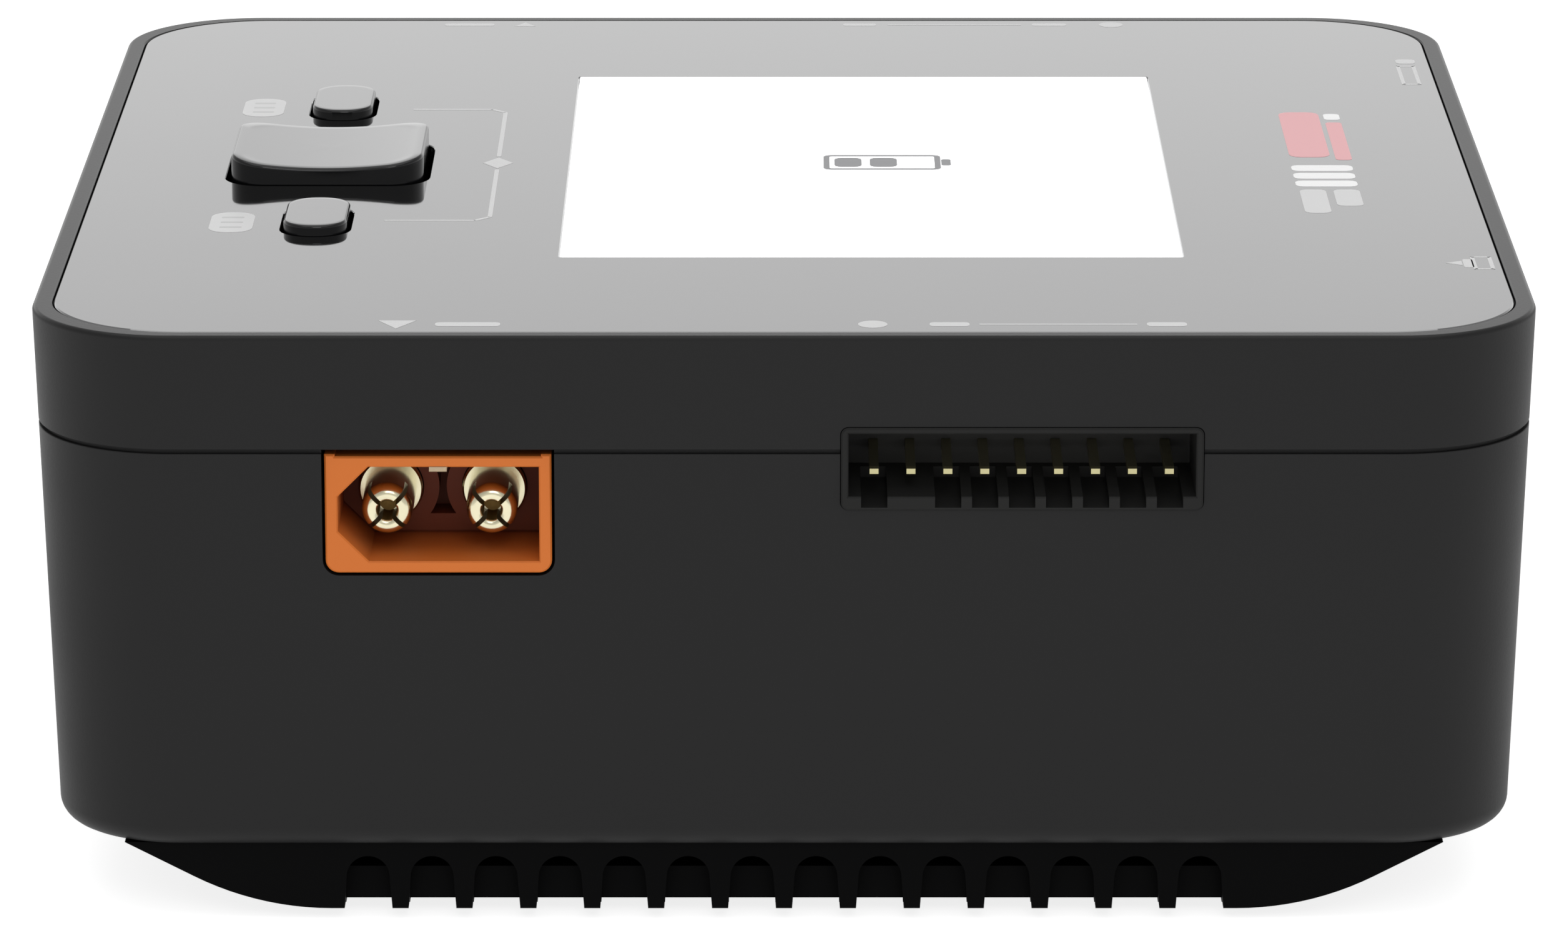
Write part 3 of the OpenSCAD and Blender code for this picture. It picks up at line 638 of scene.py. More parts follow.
def arc(radius, steps=7):
    """How far a quarter-round edge stands in, and how far it stands down, from wall to top."""
    turn = np.linspace(0, np.pi / 2, steps)
    return zip(radius * (1 - np.cos(turn)), radius * (1 - np.sin(turn)))


def block(low, high):
    """A plain cutter between two opposite corners."""
    (x0, y0, z0), (x1, y1, z1) = low, high
    return placed(box((x1 - x0) / 2, (y1 - y0) / 2, z0, z1), (x0 + x1) / 2, (y0 + y1) / 2)


def wall_opening(node, gap, radius, top=None):
    """A cutter through the wall round a connector: its outline grown by a gap, with round corners.
    With a top height given, the upper corners are square and reach that height."""
    low, high = low_high(node)
    centre, half = middle(node), (high - low) / 2 + gap
    in_side_wall = centre[0] > 40
    outline = rounded(half[1] if in_side_wall else half[0], half[2], radius, 8)
    if top:
        side, rise = outline[:, 0].max(), top - centre[2]
        outline = np.concatenate([outline[16:], [(side, rise), (-side, rise)]])
    return placed(upright(prism(outline, -8, 8)), *centre, 90 if in_side_wall else 0)


# %% Upper shell
shared_openings = [
    wall_opening("ch1_balance_header", 0.06, 0.56),
    wall_opening("ch2_balance_header", 0.06, 0.56),
    wall_opening("usb_shell", 0.12, 1.7),
]
cavity = (49.05, 49.75, 7.8)
lip_room = (50.2, 50.9, 8.95)
recess = (50.1, 50.84, 9.5)
deck_low, deck_top = 39.0, 40.6
rings = [
    inner(cavity, deck_low),
    inner(cavity, 35.7),
    inner(lip_room, 35.7),
    inner(lip_room, groove_high),
    wall(groove_high, 0.04),
    wall(groove_high + 0.04),
]
rings += [wall(rim_z - down, inward) for inward, down in arc(0.35, 9)]
rings += [inner(recess, rim_z, 0.1), inner(recess, rim_z - 0.1), inner(recess, deck_top)]
key_x = middle("rocker_key")[0]
enter_y = middle("enter_key")[1]
back_y = middle("back_key")[1]
small_hole = rounded(2.6, 4.85, 2.45)
lcd_low, lcd_high = low_high("lcd_module")
upper = carve(
    loft(rings),
    block(lcd_low - [0.3, 0.3, 3], lcd_high + [0.3, 0.3, 3]),
    block((key_x - 7.75, -9, 37), (key_x + 7.75, 9, 42)),
    *[placed(prism(small_hole, 38, 42), key_x, y) for y in (enter_y, back_y)],
    *shared_openings,
)
column = corners(36, 41.5)
board_corners = corners(44.5, 44)
column_top = turned([(0, 39.5), (3.75, 39.5), (3.75, 24.5), (2.0, 24.5), (2.0, 28.5), (1.45, 28.5),
    (1.45, 30.5), (0, 30.5)])
board_post = turned([(0, 39.5), (2.6, 39.5), (2.6, 37.2), (1.02, 37.2), (1.02, 39.0), (0, 39.0)], 32)
upper = together(upper, repeated(column_top, column), repeated(board_post, board_corners))
piece("case_upper_shell", upper, case_plastic, "upper_shell")
print(f"upper shell: {len(upper[0])} points")

# %% Lower shell
power_connectors = ("ch1_power", "ch2_power", "dc_input")
floor_top = split_low + 2
thick = 2.5
lip = 1.0
rings = [
    wall(floor_top, thick),
    wall(groove_low, thick),
    inner(cavity, groove_low),
    inner(cavity, 35.3),
    inner(cavity, 35.4, 0.1),
    inner(cavity, 35.4, lip - 0.1),
    inner(cavity, 35.3, lip),
    inner(cavity, groove_high - 0.02, lip),
    wall(groove_high - 0.02, 0.3),
    wall(groove_low, 0.3),
    wall(groove_low, 0.04),
    wall(groove_low - 0.04),
]
rings += [wall(split_low + down, inward) for inward, down in arc(1.5, 9)]
fan_y = middle("fan_frame")[1]
fan_holes = [(x, y + fan_y) for x, y in corners(20, 20)]
lower = carve(
    loft(rings),
    placed(prism(circle(23.4, 96), 5, 9), 0, fan_y),
    repeated(prism(circle(1.52, 24), 5, 9), fan_holes),
    placed(prism(rounded(28, 9, 3), 5, 9), 0, 28),
    repeated(prism(circle(1.45, 32), 5, 9), column),
    *[wall_opening(name + "_housing", 0.2, 1.1, groove_high) for name in power_connectors],
    *shared_openings,
)
column_foot = floor_top - 0.5
column_low = turned_ring([(1.45, column_foot), (3.75, column_foot), (3.75, 24.4), (3.65, 24.5), (1.55, 24.5),
    (1.45, 24.4)])
lower = together(lower, repeated(column_low, column))
piece("case_lower_shell", lower, case_plastic, "lower_shell")
print(f"lower shell: {len(lower[0])} points")

# %% [markdown]
# The base is a shallow tray whose flanks sweep up in an arc. Each end has a row of arched air slots. The
# engineering mesh has the right shape, so a copy of it is merged, its flat triangles are joined, and its
# edges get a small round, because a moulded edge is never perfectly sharp.

# %% Base and feet
piece("vented_base", cad_solid("base_cover"), base_plastic, "base_cover", edge=0.12)
foot = [(0, 0.18), (3.2, 0.18), (3.45, 0.02), (3.6, 0), (4.05, 0), (4.3, 0.08), (4.45, 0.25), (4.5, 0.5),
    (4.5, 1.3), (0, 1.3)]
piece("foot_pads", repeated(turned(foot, 64), corners(23, 36)), foot_rubber, "rubber_feet")

# %% [markdown]
# Every screw is one grid. Its radius falls and rises with |2 frac(z / pitch - turn) - 1|, which is a
# triangle wave that climbs by one pitch in each turn: a thread. The head is a turned dome with a cross cut
# into it.

# %% Screws
def screw(seat, head_r, head_h, shank_r, length, pitch, threaded):
    """A pan head under height seat, and a thread on the last part of the shank."""
    dome = [(0, seat), (head_r - 0.1, seat), (head_r, seat - 0.1), (head_r, seat - 0.45 * head_h),
        (0.93 * head_r, seat - 0.75 * head_h), (0.72 * head_r, seat - 0.95 * head_h),
        (0.45 * head_r, seat - head_h), (0, seat - head_h)]
    low = seat - head_h - 1
    cross = prism(inset(rounded(0.55 * head_r, 0.2, 0.05, 2), 0), low, seat - 0.45 * head_h)
    head = carve(turned(dome, 40), cross, placed(cross, turn=90))
    z = np.arange(seat - 0.2, seat + length, pitch / 5)
    turn = np.arange(20) / 20
    wave = np.abs(2 * ((z[:, None] / pitch - turn) % 1) - 1)
    depth = np.where(z > seat + length - threaded, 0.14 * shank_r, 0.0)[:, None]
    radius = shank_r - depth * wave
    angle = 2 * np.pi * turn
    shank = np.stack([radius * np.cos(angle), radius * np.sin(angle), np.repeat(z[:, None], 20, 1)], -1)
    return together(head, loft(shank))


board_low = low_high("main_board")[0][2]
sink_low = 31.8
sink_y = middle("heat_sink")[1]
sink_holes = [(x, y + sink_y) for x, y in corners(30.8, 14)]
piece("case_fasteners", repeated(screw(3.6, 2.4, 1.5, 1.25, 25, 0.8, 9), column), black_steel, "case_screws")
piece("board_fasteners", repeated(screw(board_low, 1.9, 1.3, 1.0, 4, 0.6, 3.6), board_corners), steel,
    "board_screws")
piece("sink_fasteners", repeated(screw(sink_low, 2.1, 1.4, 1.25, 5.4, 0.6, 3), sink_holes), steel,
    "heat_sink_screws")


# %% Brass inserts
def insert():
    """A knurled bush: its two bands have a radius of 1.98 - 0.14 |sin 12 t|, with a groove between them."""
    turn = np.arange(72) * 2 * np.pi / 72
    knurl = 0.14 * np.abs(np.sin(12 * turn))
    levels = [(1.3, 24.7, 0), (1.45, 24.5, 0), (1.85, 24.5, 0), (1.98, 24.65, 1), (1.98, 25.9, 1),
        (1.7, 26.0, 0), (1.7, 27.0, 0), (1.98, 27.1, 1), (1.98, 28.35, 1), (1.85, 28.5, 0), (1.45, 28.5, 0),
        (1.3, 28.3, 0)]
    return loft([at((r - k * knurl)[:, None] * circle(1, 72), z) for r, z, k in levels], closed=True)


piece("knurled_inserts", repeated(insert(), column), brass, "threaded_inserts")

# %% [markdown]
# The panel is a glossy plate let into the rim. Its openings are cut with flared tools, so that each edge
# keeps a fine chamfer that catches the light, as a real trimmed edge does.

# %% Panel and window
def flared(outline, flare=0.06):
    """A cutter that widens by the flare just under the panel's face and stays wide above it."""
    wide = inset(outline, -flare)
    under = 40
    return loft([at(outline, under), at(outline, panel_top - flare), at(wide, panel_top),
        at(wide, panel_top + 1)])


panel_x, panel_y, _ = low_high("top_panel")[1]
lens_low, lens_high = low_high("display_lens")
window_x, window_y = (lens_low + lens_high)[:2] / 2
window = (lens_high - lens_low)[:2] / 2
window_hole = rounded(window[0] + 0.05, window[1] + 0.05, 0.25, 4)
plate = carve(
    prism(rounded(panel_x, panel_y, 9.4, 32), panel_top - 1.2, panel_top, 0.1),
    placed(flared(window_hole), window_x, window_y),
    placed(flared(rounded(7.425, 7.35, 2.8)), key_x),
    *[placed(flared(rounded(2.5, 4.75, 2.35)), key_x, y) for y in (enter_y, back_y)],
)
piece("glossy_panel", plate, panel_coat, "top_panel", sharp=20)
glass = prism(rounded(*window, 0.2, 4), lens_low[2], panel_top, 0.04)
piece("screen_window", placed(glass, window_x, window_y), screen_glow, "display_lens", sharp=20)
print(f"window {2 * window[0]:.1f} x {2 * window[1]:.1f} mm")

# %% [markdown]
# The three keys are caps that stand proud of the panel. A cap is a stack of rings too, but its top isn't
# flat. The fillet follows the top's own height, and the rings then close in on the middle, each lifted to
# the height of the surface under it. The rocker is a saddle: lowest in the middle, where a thumb rests.

# %% Keys
def cap(outline, low, height, fillet=0.3):
    """A key cap. height(x, y) is its top, and the fillet is a quarter round that follows the top's edge."""
    rings = [at(outline, low)]
    for inward, down in arc(fillet, 7):
        edge = inset(outline, inward)
        rings.append(at(edge, height(*outline.T) - down))
    for share in np.linspace(1, 0, 12)[1:]:
        ring = edge * max(share, 0.002)
        rings.append(at(ring, height(*ring.T)))
    return loft(rings)


def saddle(x, y):
    """The rocker's top: a cylinder along Y, 0.6 mm higher at both ends than in the middle."""
    radius = (7.0 ** 2 + 0.6 ** 2) / 1.2
    return panel_top + 1.2 + radius - np.sqrt(radius ** 2 - x ** 2)


def level(x, y):
    return np.full(len(x), panel_top + 0.75)


def along_y(radius, y0, y1, z, steps=24):
    return placed(upright(prism(circle(radius, steps), y0, y1)), 0, 0, z)


key_axis = 39.5
rocker_outline = finer(rounded(7.0, 7, 2.5, 14), 0.5)
rocker = carve(cap(rocker_outline, 38.75, saddle, 0.25), along_y(0.65, -8, 8, key_axis))
nibs = repeated(prism(circle(0.9, 24), 38.6, 38.8), [(-4.5, 0), (4.5, 0)])
rocker = together(rocker, box(2, 6.5, 38.45, 38.8, 0.05), nibs)
piece("rocker_cap", placed(rocker, key_x), key_side_plastic, "rocker_key", second=key_coat, sharp=50)
for node, y in (("enter_key", enter_y), ("back_key", back_y)):
    top = cap(rounded(2.25, 4.5, 2.1, 14), 38.8, level, 0.22)
    flange = prism(rounded(3.05, 5.3, 2.9, 14), 38.3, 38.9, 0.08)
    piece(node + "_cap", placed(together(top, flange), key_x, y), key_side_plastic, node, second=key_coat,
        sharp=50)

# %% [markdown]
# Each end of the case has an orange power connector with two gold pins, and a third one stands in the right
# wall. The three are the same, so the parts are made once, with the mouth at y = 0 looking towards -Y, and
# set into a wall by a turn and a move. The housing's outline keeps the two upstanding ears that clip it
# under the shell, and the mouth has the two cut corners that stop a plug from going in upside down.

# %% Power connector housing
power_z = middle("ch2_power_housing")[2]
side, top, ear = 7.675, 4.15, 0.7
power_outline = np.concatenate([
    rounded(side, top, 0.9, 9)[18:],
    [(side, top), (side - ear, top), (side - ear, 4.0), (ear - side, 4.0), (ear - side, top), (-side, top)],
])
mouth_outline = np.array([(-6.825, -1.25), (-4.725, -3.35), (6.825, -3.35), (6.825, 3.27), (-4.725, 3.27),
    (-6.825, 1.17)])
wide_mouth = inset(mouth_outline, -0.1)
mouth = loft([at(wide_mouth, -1), at(wide_mouth, 0), at(mouth_outline, 0.1), at(mouth_outline, 8)])
pin_half = 3.55
pin_drop = 0.2


def round_pins(radius, near, far, steps):
    """A cylinder on each pin's axis, from one depth to another."""
    rod = upright(prism(circle(radius, steps), near, far))
    return [placed(rod, x, 0, -pin_drop) for x in (-pin_half, pin_half)]


pocket = carve(block((-1.2, 7, -2.15), (1.2, 10.5, 1.75)), *round_pins(3.3, 6, 12, 64))
housing = carve(upright(prism(power_outline, 0, 12, 0.12)), upright(mouth), pocket,
    *round_pins(2.25, 7, 9, 48), *round_pins(1.8, 6, 13, 40))
# A small ridge just inside the top of the mouth, in a pale colour lighter than the housing round it.
stop = placed(upright(box(0.6, 0.17, 0.01, 1.5, 0.03)), 0, 0, 3.12)


# %% Power connector pins
def bullet():
    """A hollow bullet pin: a turned profile, cut crosswise so that its four leaves can spring."""
    profile = [(0, 12), (1.75, 12), (1.75, 2.5), (1.72, 2.2), (1.64, 1.9), (1.5, 1.68), (1.3, 1.54),
        (1.1, 1.5), (0.85, 1.53), (0.7, 1.65), (0.65, 1.85), (0.65, 4.1), (0, 4.3)]
    leaf = box(0.16, 3, 0.5, 4.1)
    tube = carve(turned(profile, 56), placed(leaf, turn=45), placed(leaf, turn=-45))
    collar = turned([(1.7, 7.2), (2.08, 7.2), (2.2, 7.32), (2.2, 9), (1.7, 9)], 56)
    return upright(together(tube, collar))


tail = block((-1.5, 11.99, -1.4), (1.5, 13.19, board_low - power_z + 0.4))
pins = together(*[placed(together(bullet(), tail), x, 0, -pin_drop) for x in (-pin_half, pin_half)])


def wall_place(node):
    """Where a connector made at y = 0 goes: its x, y and the turn that faces its mouth outwards."""
    low, high = low_high(node)
    x, y = middle(node)[:2]
    if low[1] < -45:
        return x, low[1], 0
    if high[1] > 45:
        return x, high[1], 180
    return high[0], y, 90


def inside_a_pin(x, y, turn):
    """A test for the faces of the pins' bores and slits. In the connector's own frame they are close to a
    pin's axis, and they look towards it or across it, never along it."""
    cosine, sine = math.cos(math.radians(turn)), math.sin(math.radians(turn))

    def test(centre, normal):
        across = (centre[:, 0] - x) * cosine + (centre[:, 1] - y) * sine
        radial = np.stack([across - np.copysign(pin_half, across), centre[:, 2] - power_z + pin_drop])
        distance = np.hypot(*radial)
        normal_across = normal[:, 0] * cosine + normal[:, 1] * sine
        normal_along = normal[:, 1] * cosine - normal[:, 0] * sine
        outward = (radial[0] * normal_across + radial[1] * normal[:, 2]) / np.maximum(distance, 1e-6)
        return (distance < 0.66) | ((distance < 1.6) & (outward < 0.35) & (abs(normal_along) < 0.5))

    return test


for name in power_connectors:
    x, y, turn = wall_place(name + "_housing")
    piece(name + "_shroud", placed(housing, x, y, power_z, turn), orange_nylon, name + "_housing", sharp=28)
    # The faces of the bores and slits take the dark brass, painted shade in the hollows.
    piece(name + "_bullets", placed(pins, x, y, power_z, turn), gold, name + "_pins", sharp=40,
        second=pin_hollow_shade, test=inside_a_pin(x, y, turn))
    piece(name + "_stop", placed(stop, x, y, power_z, turn), pale_ridge_nylon, body="case", slot="plug_cream")
print(f"power connector pins: {len(pins[0])} points")

# %% [markdown]
# A balance socket is a shallow nylon box with one gold pin for each cell tap. A row of notches in its lower
# lip lets the latch ribs of a plug in, and the missing notch keys it. Both are cut with one repeated block.

# %% Balance sockets
header_low, header_high = low_high("ch2_balance_header")
pin_x = (np.arange(9) - 4) * 2.5
pin_z = 32.2
mid_z = middle("ch2_balance_header")[2]
half_x, _, half_z = (header_high - header_low) / 2
square = np.array([(-1, -1), (1, -1), (1, 1), (-1, 1)])
outside = rounded(half_x, half_z, 0.5, 7)
inside = square * [half_x - 0.5, half_z - 0.675] + [0, 0.275]
wide = inset(inside, -0.1)
room = loft([at(wide, -1), at(wide, 0), at(inside, 0.1), at(inside, 9)])
notches = [block((x - 0.89, -1, header_low[2] + 0.2 - mid_z), (x + 0.89, 8, 1.4 - half_z)) for x in pin_x
    if x != pin_x[1]]
shafts = [block((x - 0.33, 8, pin_z - 0.33 - mid_z), (x + 0.33, 12, pin_z + 0.33 - mid_z)) for x in pin_x]
socket = carve(upright(prism(outside, 0, 10.5, 0.12)), upright(room), *notches, *shafts)
post = upright(loft([at(square * [0.3, 0.18], 1.5), at(square * 0.32, 1.7), at(square * 0.32, 11.4)]))
leg = placed(box(0.32, 0.32, pin_z - 0.3, board_low + 0.2, 0.03), 0, 11.42, -pin_z)
tap = together(post, leg)
taps = together(*[placed(tap, x, 0, pin_z) for x in pin_x])
for name in ("ch1_balance", "ch2_balance"):
    x, y, turn = wall_place(name + "_header")
    piece(name + "_socket", placed(socket, x, y, mid_z, turn), header_nylon, name + "_header", sharp=28)
    piece(name + "_taps", placed(taps, x, y, 0, turn), tap_gold, name + "_pins", sharp=28)
print(f"balance socket: {len(pin_x)} taps")

# %% [markdown]
# The data port is a drawn steel shell: a flat tube with round sides and a rolled front edge, round a thin
# plastic tongue that carries gold strips.

# %% Data port
port_mid = middle("usb_shell")[2]
skin = [rounded(4.2, 1.35, 1.3, 10), rounded(4.3, 1.45, 1.4, 10), rounded(4.5, 1.65, 1.6, 10)]
port = loft([at(skin[0], 6.4), at(skin[0], 0.15), at(skin[1], 0.03), at(skin[2], 0), at(skin[2], 7.4)])
tongue = box(3.3, 0.3, 1.0, 6.4, 0.1)
strip_x = (np.arange(8) - 3.5) * 0.7
strips = together(*[block((x - 0.15, 1.3, -0.345), (x + 0.15, 6, 0.345)) for x in strip_x])
x, y, turn = wall_place("usb_shell")
piece("port_shell", placed(upright(port), x, y, port_mid, turn), steel, "usb_shell")
piece("port_tongue", placed(upright(tongue), x, y, port_mid, turn), header_nylon, "usb_tongue")
piece("port_strips", placed(strips, x, y, port_mid, turn), gold, body="case", slot="gold_plate")

# %% [markdown]
# The marks on the panel are screen prints, so they are thin solids that stand 0.012 mm proud. They carry no
# words: short bars stand where labels would be, and the simple signs are a minus, a triangle and a frame.

# %% Prints on the panel
ink_low, ink_high = panel_top - 0.01, panel_top + 0.012


def print_shape(outline, x, y, turn=0.0):
    return placed(prism(outline, ink_low, ink_high), x, y, 0, turn)


def bar(width, height, x, y, turn=0.0):
    radius = min(width, height) * 0.3
    return print_shape(rounded(width / 2, height / 2, radius, 4), x, y, turn)


def line(x0, y0, x1, y1, width=0.22):
    length = math.hypot(x1 - x0, y1 - y0)
    return bar(length, width, (x0 + x1) / 2, (y0 + y1) / 2, math.degrees(math.atan2(y1 - y0, x1 - x0)))


def hoop(outer, width, x, y, turn=0.0):
    """A closed band between an outline and the same outline drawn in by its width."""
    small = inset(outer, width)
    rings = [at(outer, ink_low), at(outer, ink_high), at(small, ink_high), at(small, ink_low)]
    return placed(loft(rings, closed=True), x, y, 0, turn)


def triangle(size, x, y, turn=0.0):
    return print_shape(circle(size, 3), x, y, turn)


def printed(name, shapes, finish, slot="panel_grey"):
    piece(name, together(*shapes), finish, body="case", slot=slot, sharp=60)


badge_x, badge_y = -39.3, 18.8
badges = [print_shape(rounded(1.55, 3.1, 1.4, 8), badge_x, side * badge_y) for side in (-1, 1)]
strokes = [placed(bar(1.6, 0.45, badge_x, side * badge_y + step), 0, 0, 0.006) for side in (-1, 1)
    for step in (-1.5, 0, 1.5)]
bracket = [line(-28.0, 18.2, -22.0, 18.2, 0.32), line(-21.0, 17.2, -21.0, 2.2, 0.32),
    line(-21.0, -2.0, -21.0, -17.2, 0.32), line(-22.0, -18.2, -28.5, -18.2, 0.32),
    line(-22.05, 18.2, -21.0, 17.15, 0.32), line(-21.0, -17.15, -22.05, -18.2, 0.32),
    print_shape(circle(1.1, 4) * [1, 1.6], -21.0, 0.1)]
front_y, rear_y = -48.7, 49.1
row_front = [triangle(1.5, -26.2, -48.4, -90), bar(4.4, 1.1, -21.4, front_y),
    print_shape(circle(1.0, 28), 6.0, front_y), bar(2.7, 1.1, 11.2, front_y),
    line(13.2, front_y, 23.9, front_y, 0.25), bar(2.7, 1.1, 25.9, front_y)]
row_back = [bar(3.9, 0.9, -24.9, rear_y), triangle(0.95, -20.5, 49.0, 90), bar(2.6, 0.9, 6.0, rear_y),
    line(8.2, rear_y, 18.8, rear_y, 0.25), bar(2.7, 0.9, 21.0, rear_y),
    print_shape(circle(0.95, 28), 25.9, rear_y)]
side_signs = [bar(1.5, 1.6, 48.2, 35.3), hoop(rounded(0.75, 3.4, 0.1, 4), 0.3, 48.1, 30.3),
    triangle(0.75, 46.9, -31.1, 180), bar(0.7, 2.4, 47.7, -31.2),
    hoop(rounded(0.75, 1.9, 0.1, 4), 0.3, 48.7, -31.1)]
printed("panel_badges", badges, badge_ink)
printed("badge_strokes", strokes, faint_ink)
printed("panel_print", bracket + row_front + row_back + side_signs, light_ink)
printed("panel_stripe_red", [bar(3.0, 15.2, 38.75, 9.6), bar(1.2, 12.6, 41.2, 7.4)], red_ink)
printed("panel_stripe_pale", [bar(1.9, 7.4, 38.25, -12.2), bar(1.9, 5.2, 40.7, -11.1)], badge_ink)
white_bars = [bar(4.5, 1.9, 39.4, y) for y in (-1.6, -4.1, -6.6)]
printed("panel_stripe_white", [bar(1.2, 2.0, 41.2, 15.6), *white_bars], white_ink)
cell = [hoop(rounded(4.3, 2.4, 0.6, 6), 0.45, 7.2, 0.3), bar(0.7, 2.0, 11.9, 0.3), bar(2.0, 3.0, 4.7, 0.3),
    bar(2.0, 3.0, 7.3, 0.3)]
printed("screen_mark", cell, screen_ink, "lcd_glass")

# %% [markdown]
# The board hangs under the deck with its tall parts pointing down. Each part is one of a few shapes:
# a moulded block, a turned can, or a chip with bent legs.

# %% Parts on the board
pad_top = sink_low + 2 + 0.8


def chip(half, low, high, legs):
    """A moulded body with a row of legs on its two long sides, each leg bent up to the board."""
    body = box(half - 0.6, half, low, high - 0.12, 0.12)
    y = (np.arange(legs) - (legs - 1) / 2) * (2 * half - 1) / (legs - 1)
    leg = block((-0.3, -0.14, high - 0.55), (0.3, 0.14, high))
    return body, repeated(leg, [(side * (half - 0.3), place) for side in (-1, 1) for place in y])


def hanging(profile, steps):
    """A turned part on the board's under face: points of radius and drop below that face."""
    return turned([(radius, board_low - drop) for radius, drop in profile], steps)


chip_body, chip_legs = chip(4.5, board_low - 1.2, board_low, 16)
chip_places = [(16, -34), (16, 34)]
piece("controller_bodies", repeated(chip_body, chip_places), chip_epoxy, "controller_chips")
piece("controller_legs", repeated(chip_legs, chip_places), steel, body="case", slot="steel")
transistor = together(box(2.5, 2.6, pad_top + 0.02, board_low - 0.05, 0.12),
    placed(box(2.1, 0.4, pad_top + 0.3, board_low, 0.02), 0, -2.6))
places = [(x, y + sink_y) for x in (-18, -6, 6, 18) for y in (-8, 8)]
piece("transistor_bodies", repeated(transistor, places), chip_epoxy, "power_transistors")
shunt = together(box(3.2, 1.6, board_low - 0.7, board_low - 0.1, 0.08))
caps = [placed(box(0.6, 1.6, board_low - 0.8, board_low, 0.05), side * 2.6) for side in (-1, 1)]
shunt_places = [(-23.25, -33), (-23.25, 33)]
piece("shunt_bodies", repeated(shunt, shunt_places), chip_epoxy, "shunt_resistors")
piece("shunt_caps", repeated(together(*caps), shunt_places), steel, body="case", slot="steel")
coil = prism(rounded(6, 6, 1.5, 10), board_low - 9, board_low, 0.6)
piece("inductor_bodies", repeated(coil, [(-40, y) for y in (-24, -8, 8, 24)]), ferrite, "inductors")
can = [(0, 14.85), (3.9, 14.85), (4.1, 15), (4.7, 15), (5, 14.6), (5, 2.6), (4.65, 2.3), (4.65, 1.8),
    (5, 1.5), (5, 0.2), (4.8, 0), (0, 0)]
vent = box(3.2, 0.16, board_low - 16, board_low - 14.6)
tin = carve(hanging(can, 48), vent, placed(vent, turn=90))
piece("capacitor_cans", repeated(tin, [(39, y) for y in (-17, -6, 5)]), can_sleeve, "capacitors")
sounder = hanging([(0, 0), (4.5, 0), (4.5, 3.8), (4.3, 4), (1, 4), (1, 2), (0, 2)], 40)
piece("buzzer_case", placed(sounder, -6, -39), bracket_plastic, "buzzer")

# %% Plug of the fan's lead
plug_low, plug_high = low_high("fan_connector")
plug_mid = middle("fan_connector")
plug = carve(box(2.25, 3, plug_low[2], plug_high[2], 0.12),
    block((-1.2, -2.2, plug_low[2] - 1), (1.2, 2.2, plug_low[2] + 0.9)),
    block((1.9, -1.5, plug_low[2] - 1), (3, 1.5, plug_high[2] - 1)))
piece("fan_plug", placed(plug, plug_mid[0], plug_mid[1]), plug_nylon, "fan_connector")


def tube(path, radius, steps=16):
    """Carries a circle along a smooth path. The frame at each point is its direction, the Y axis made square
    to it, and their cross product, which works because the path stays in a plane of constant y."""
    path = np.asarray(path, float)
    along = np.gradient(path, axis=0)
    along /= np.linalg.norm(along, axis=1, keepdims=True)
    side = np.broadcast_to([0.0, 1.0, 0.0], path.shape)
    up = np.cross(along, side)
    turn = np.arange(steps) * 2 * np.pi / steps
    across = np.cos(turn)[None, :, None] * side[:, None] + np.sin(turn)[None, :, None] * up[:, None]
    return loft(path[:, None] + radius * across)


def lead(y):
    """Straight out of the fan, round a quarter bend of radius 2.5, and straight up into the plug."""
    turn = np.linspace(0, np.pi / 2, 14)
    bend = np.column_stack([27.5 + 2.5 * np.sin(turn), np.full(14, y), 15.5 - 2.5 * np.cos(turn)])
    start = np.array([[25.0, y, 13.0], [26.2, y, 13.0]])
    end = np.array([[30.0, y, z] for z in np.linspace(17, plug_low[2] + 0.6, 8)])
    return tube(np.concatenate([start, bend, end]), 0.48)


piece("fan_wires", together(lead(plug_mid[1] - 0.9), lead(plug_mid[1] + 0.9)), wire_skin, "fan_lead")

# %% [markdown]
# The fan's blades are twisted: steep at the hub, where they move slowly, and flat at the tip. One blade is a
# grid over two parameters. u runs from hub to tip, and v goes once round the blade's section. The blade's
# chord lies along the circle, so the points wrap round the axis and never leave the ring they sweep.

# %% Fan rotor
fan_low = low_high("fan_frame")[0][2]
blades = 7


def fan_piece(name, mesh, finish, node, **options):
    """A piece made in the fan's own frame: its axis on Z, and its lower face at z = 0."""
    piece(name, placed(mesh, 0, fan_y, fan_low), finish, node, **options)


def blade(turn):
    """s = v chord along the section. angle = turn + s cos(pitch) / r, z = middle + s sin(pitch) + camber."""
    u = np.linspace(0, 1, 14)[:, None]
    v = np.linspace(0, 1, 14)
    face = np.concatenate([v, v[-2:0:-1]])[None] - 0.5
    side = np.concatenate([np.ones(14), -np.ones(12)])[None]
    radius = 10.7 + 11.7 * u
    pitch = np.radians(46 - 18 * u)
    chord = 12.0 + 3.5 * u - 2.0 * u ** 6
    s = face * chord
    thick = 0.12 + 0.5 * np.sqrt(np.clip(1 - (2 * face) ** 2, 0, 1)) * (1.1 - 0.4 * u)
    lift = 0.9 * (1 - (2 * face) ** 2) + side * thick * 0.5
    angle = turn + s * np.cos(pitch) / radius
    z = 8.0 + s * np.sin(pitch) + lift
    return loft(np.stack([radius * np.cos(angle), radius * np.sin(angle), np.clip(z, 3.25, 13.1)], -1))


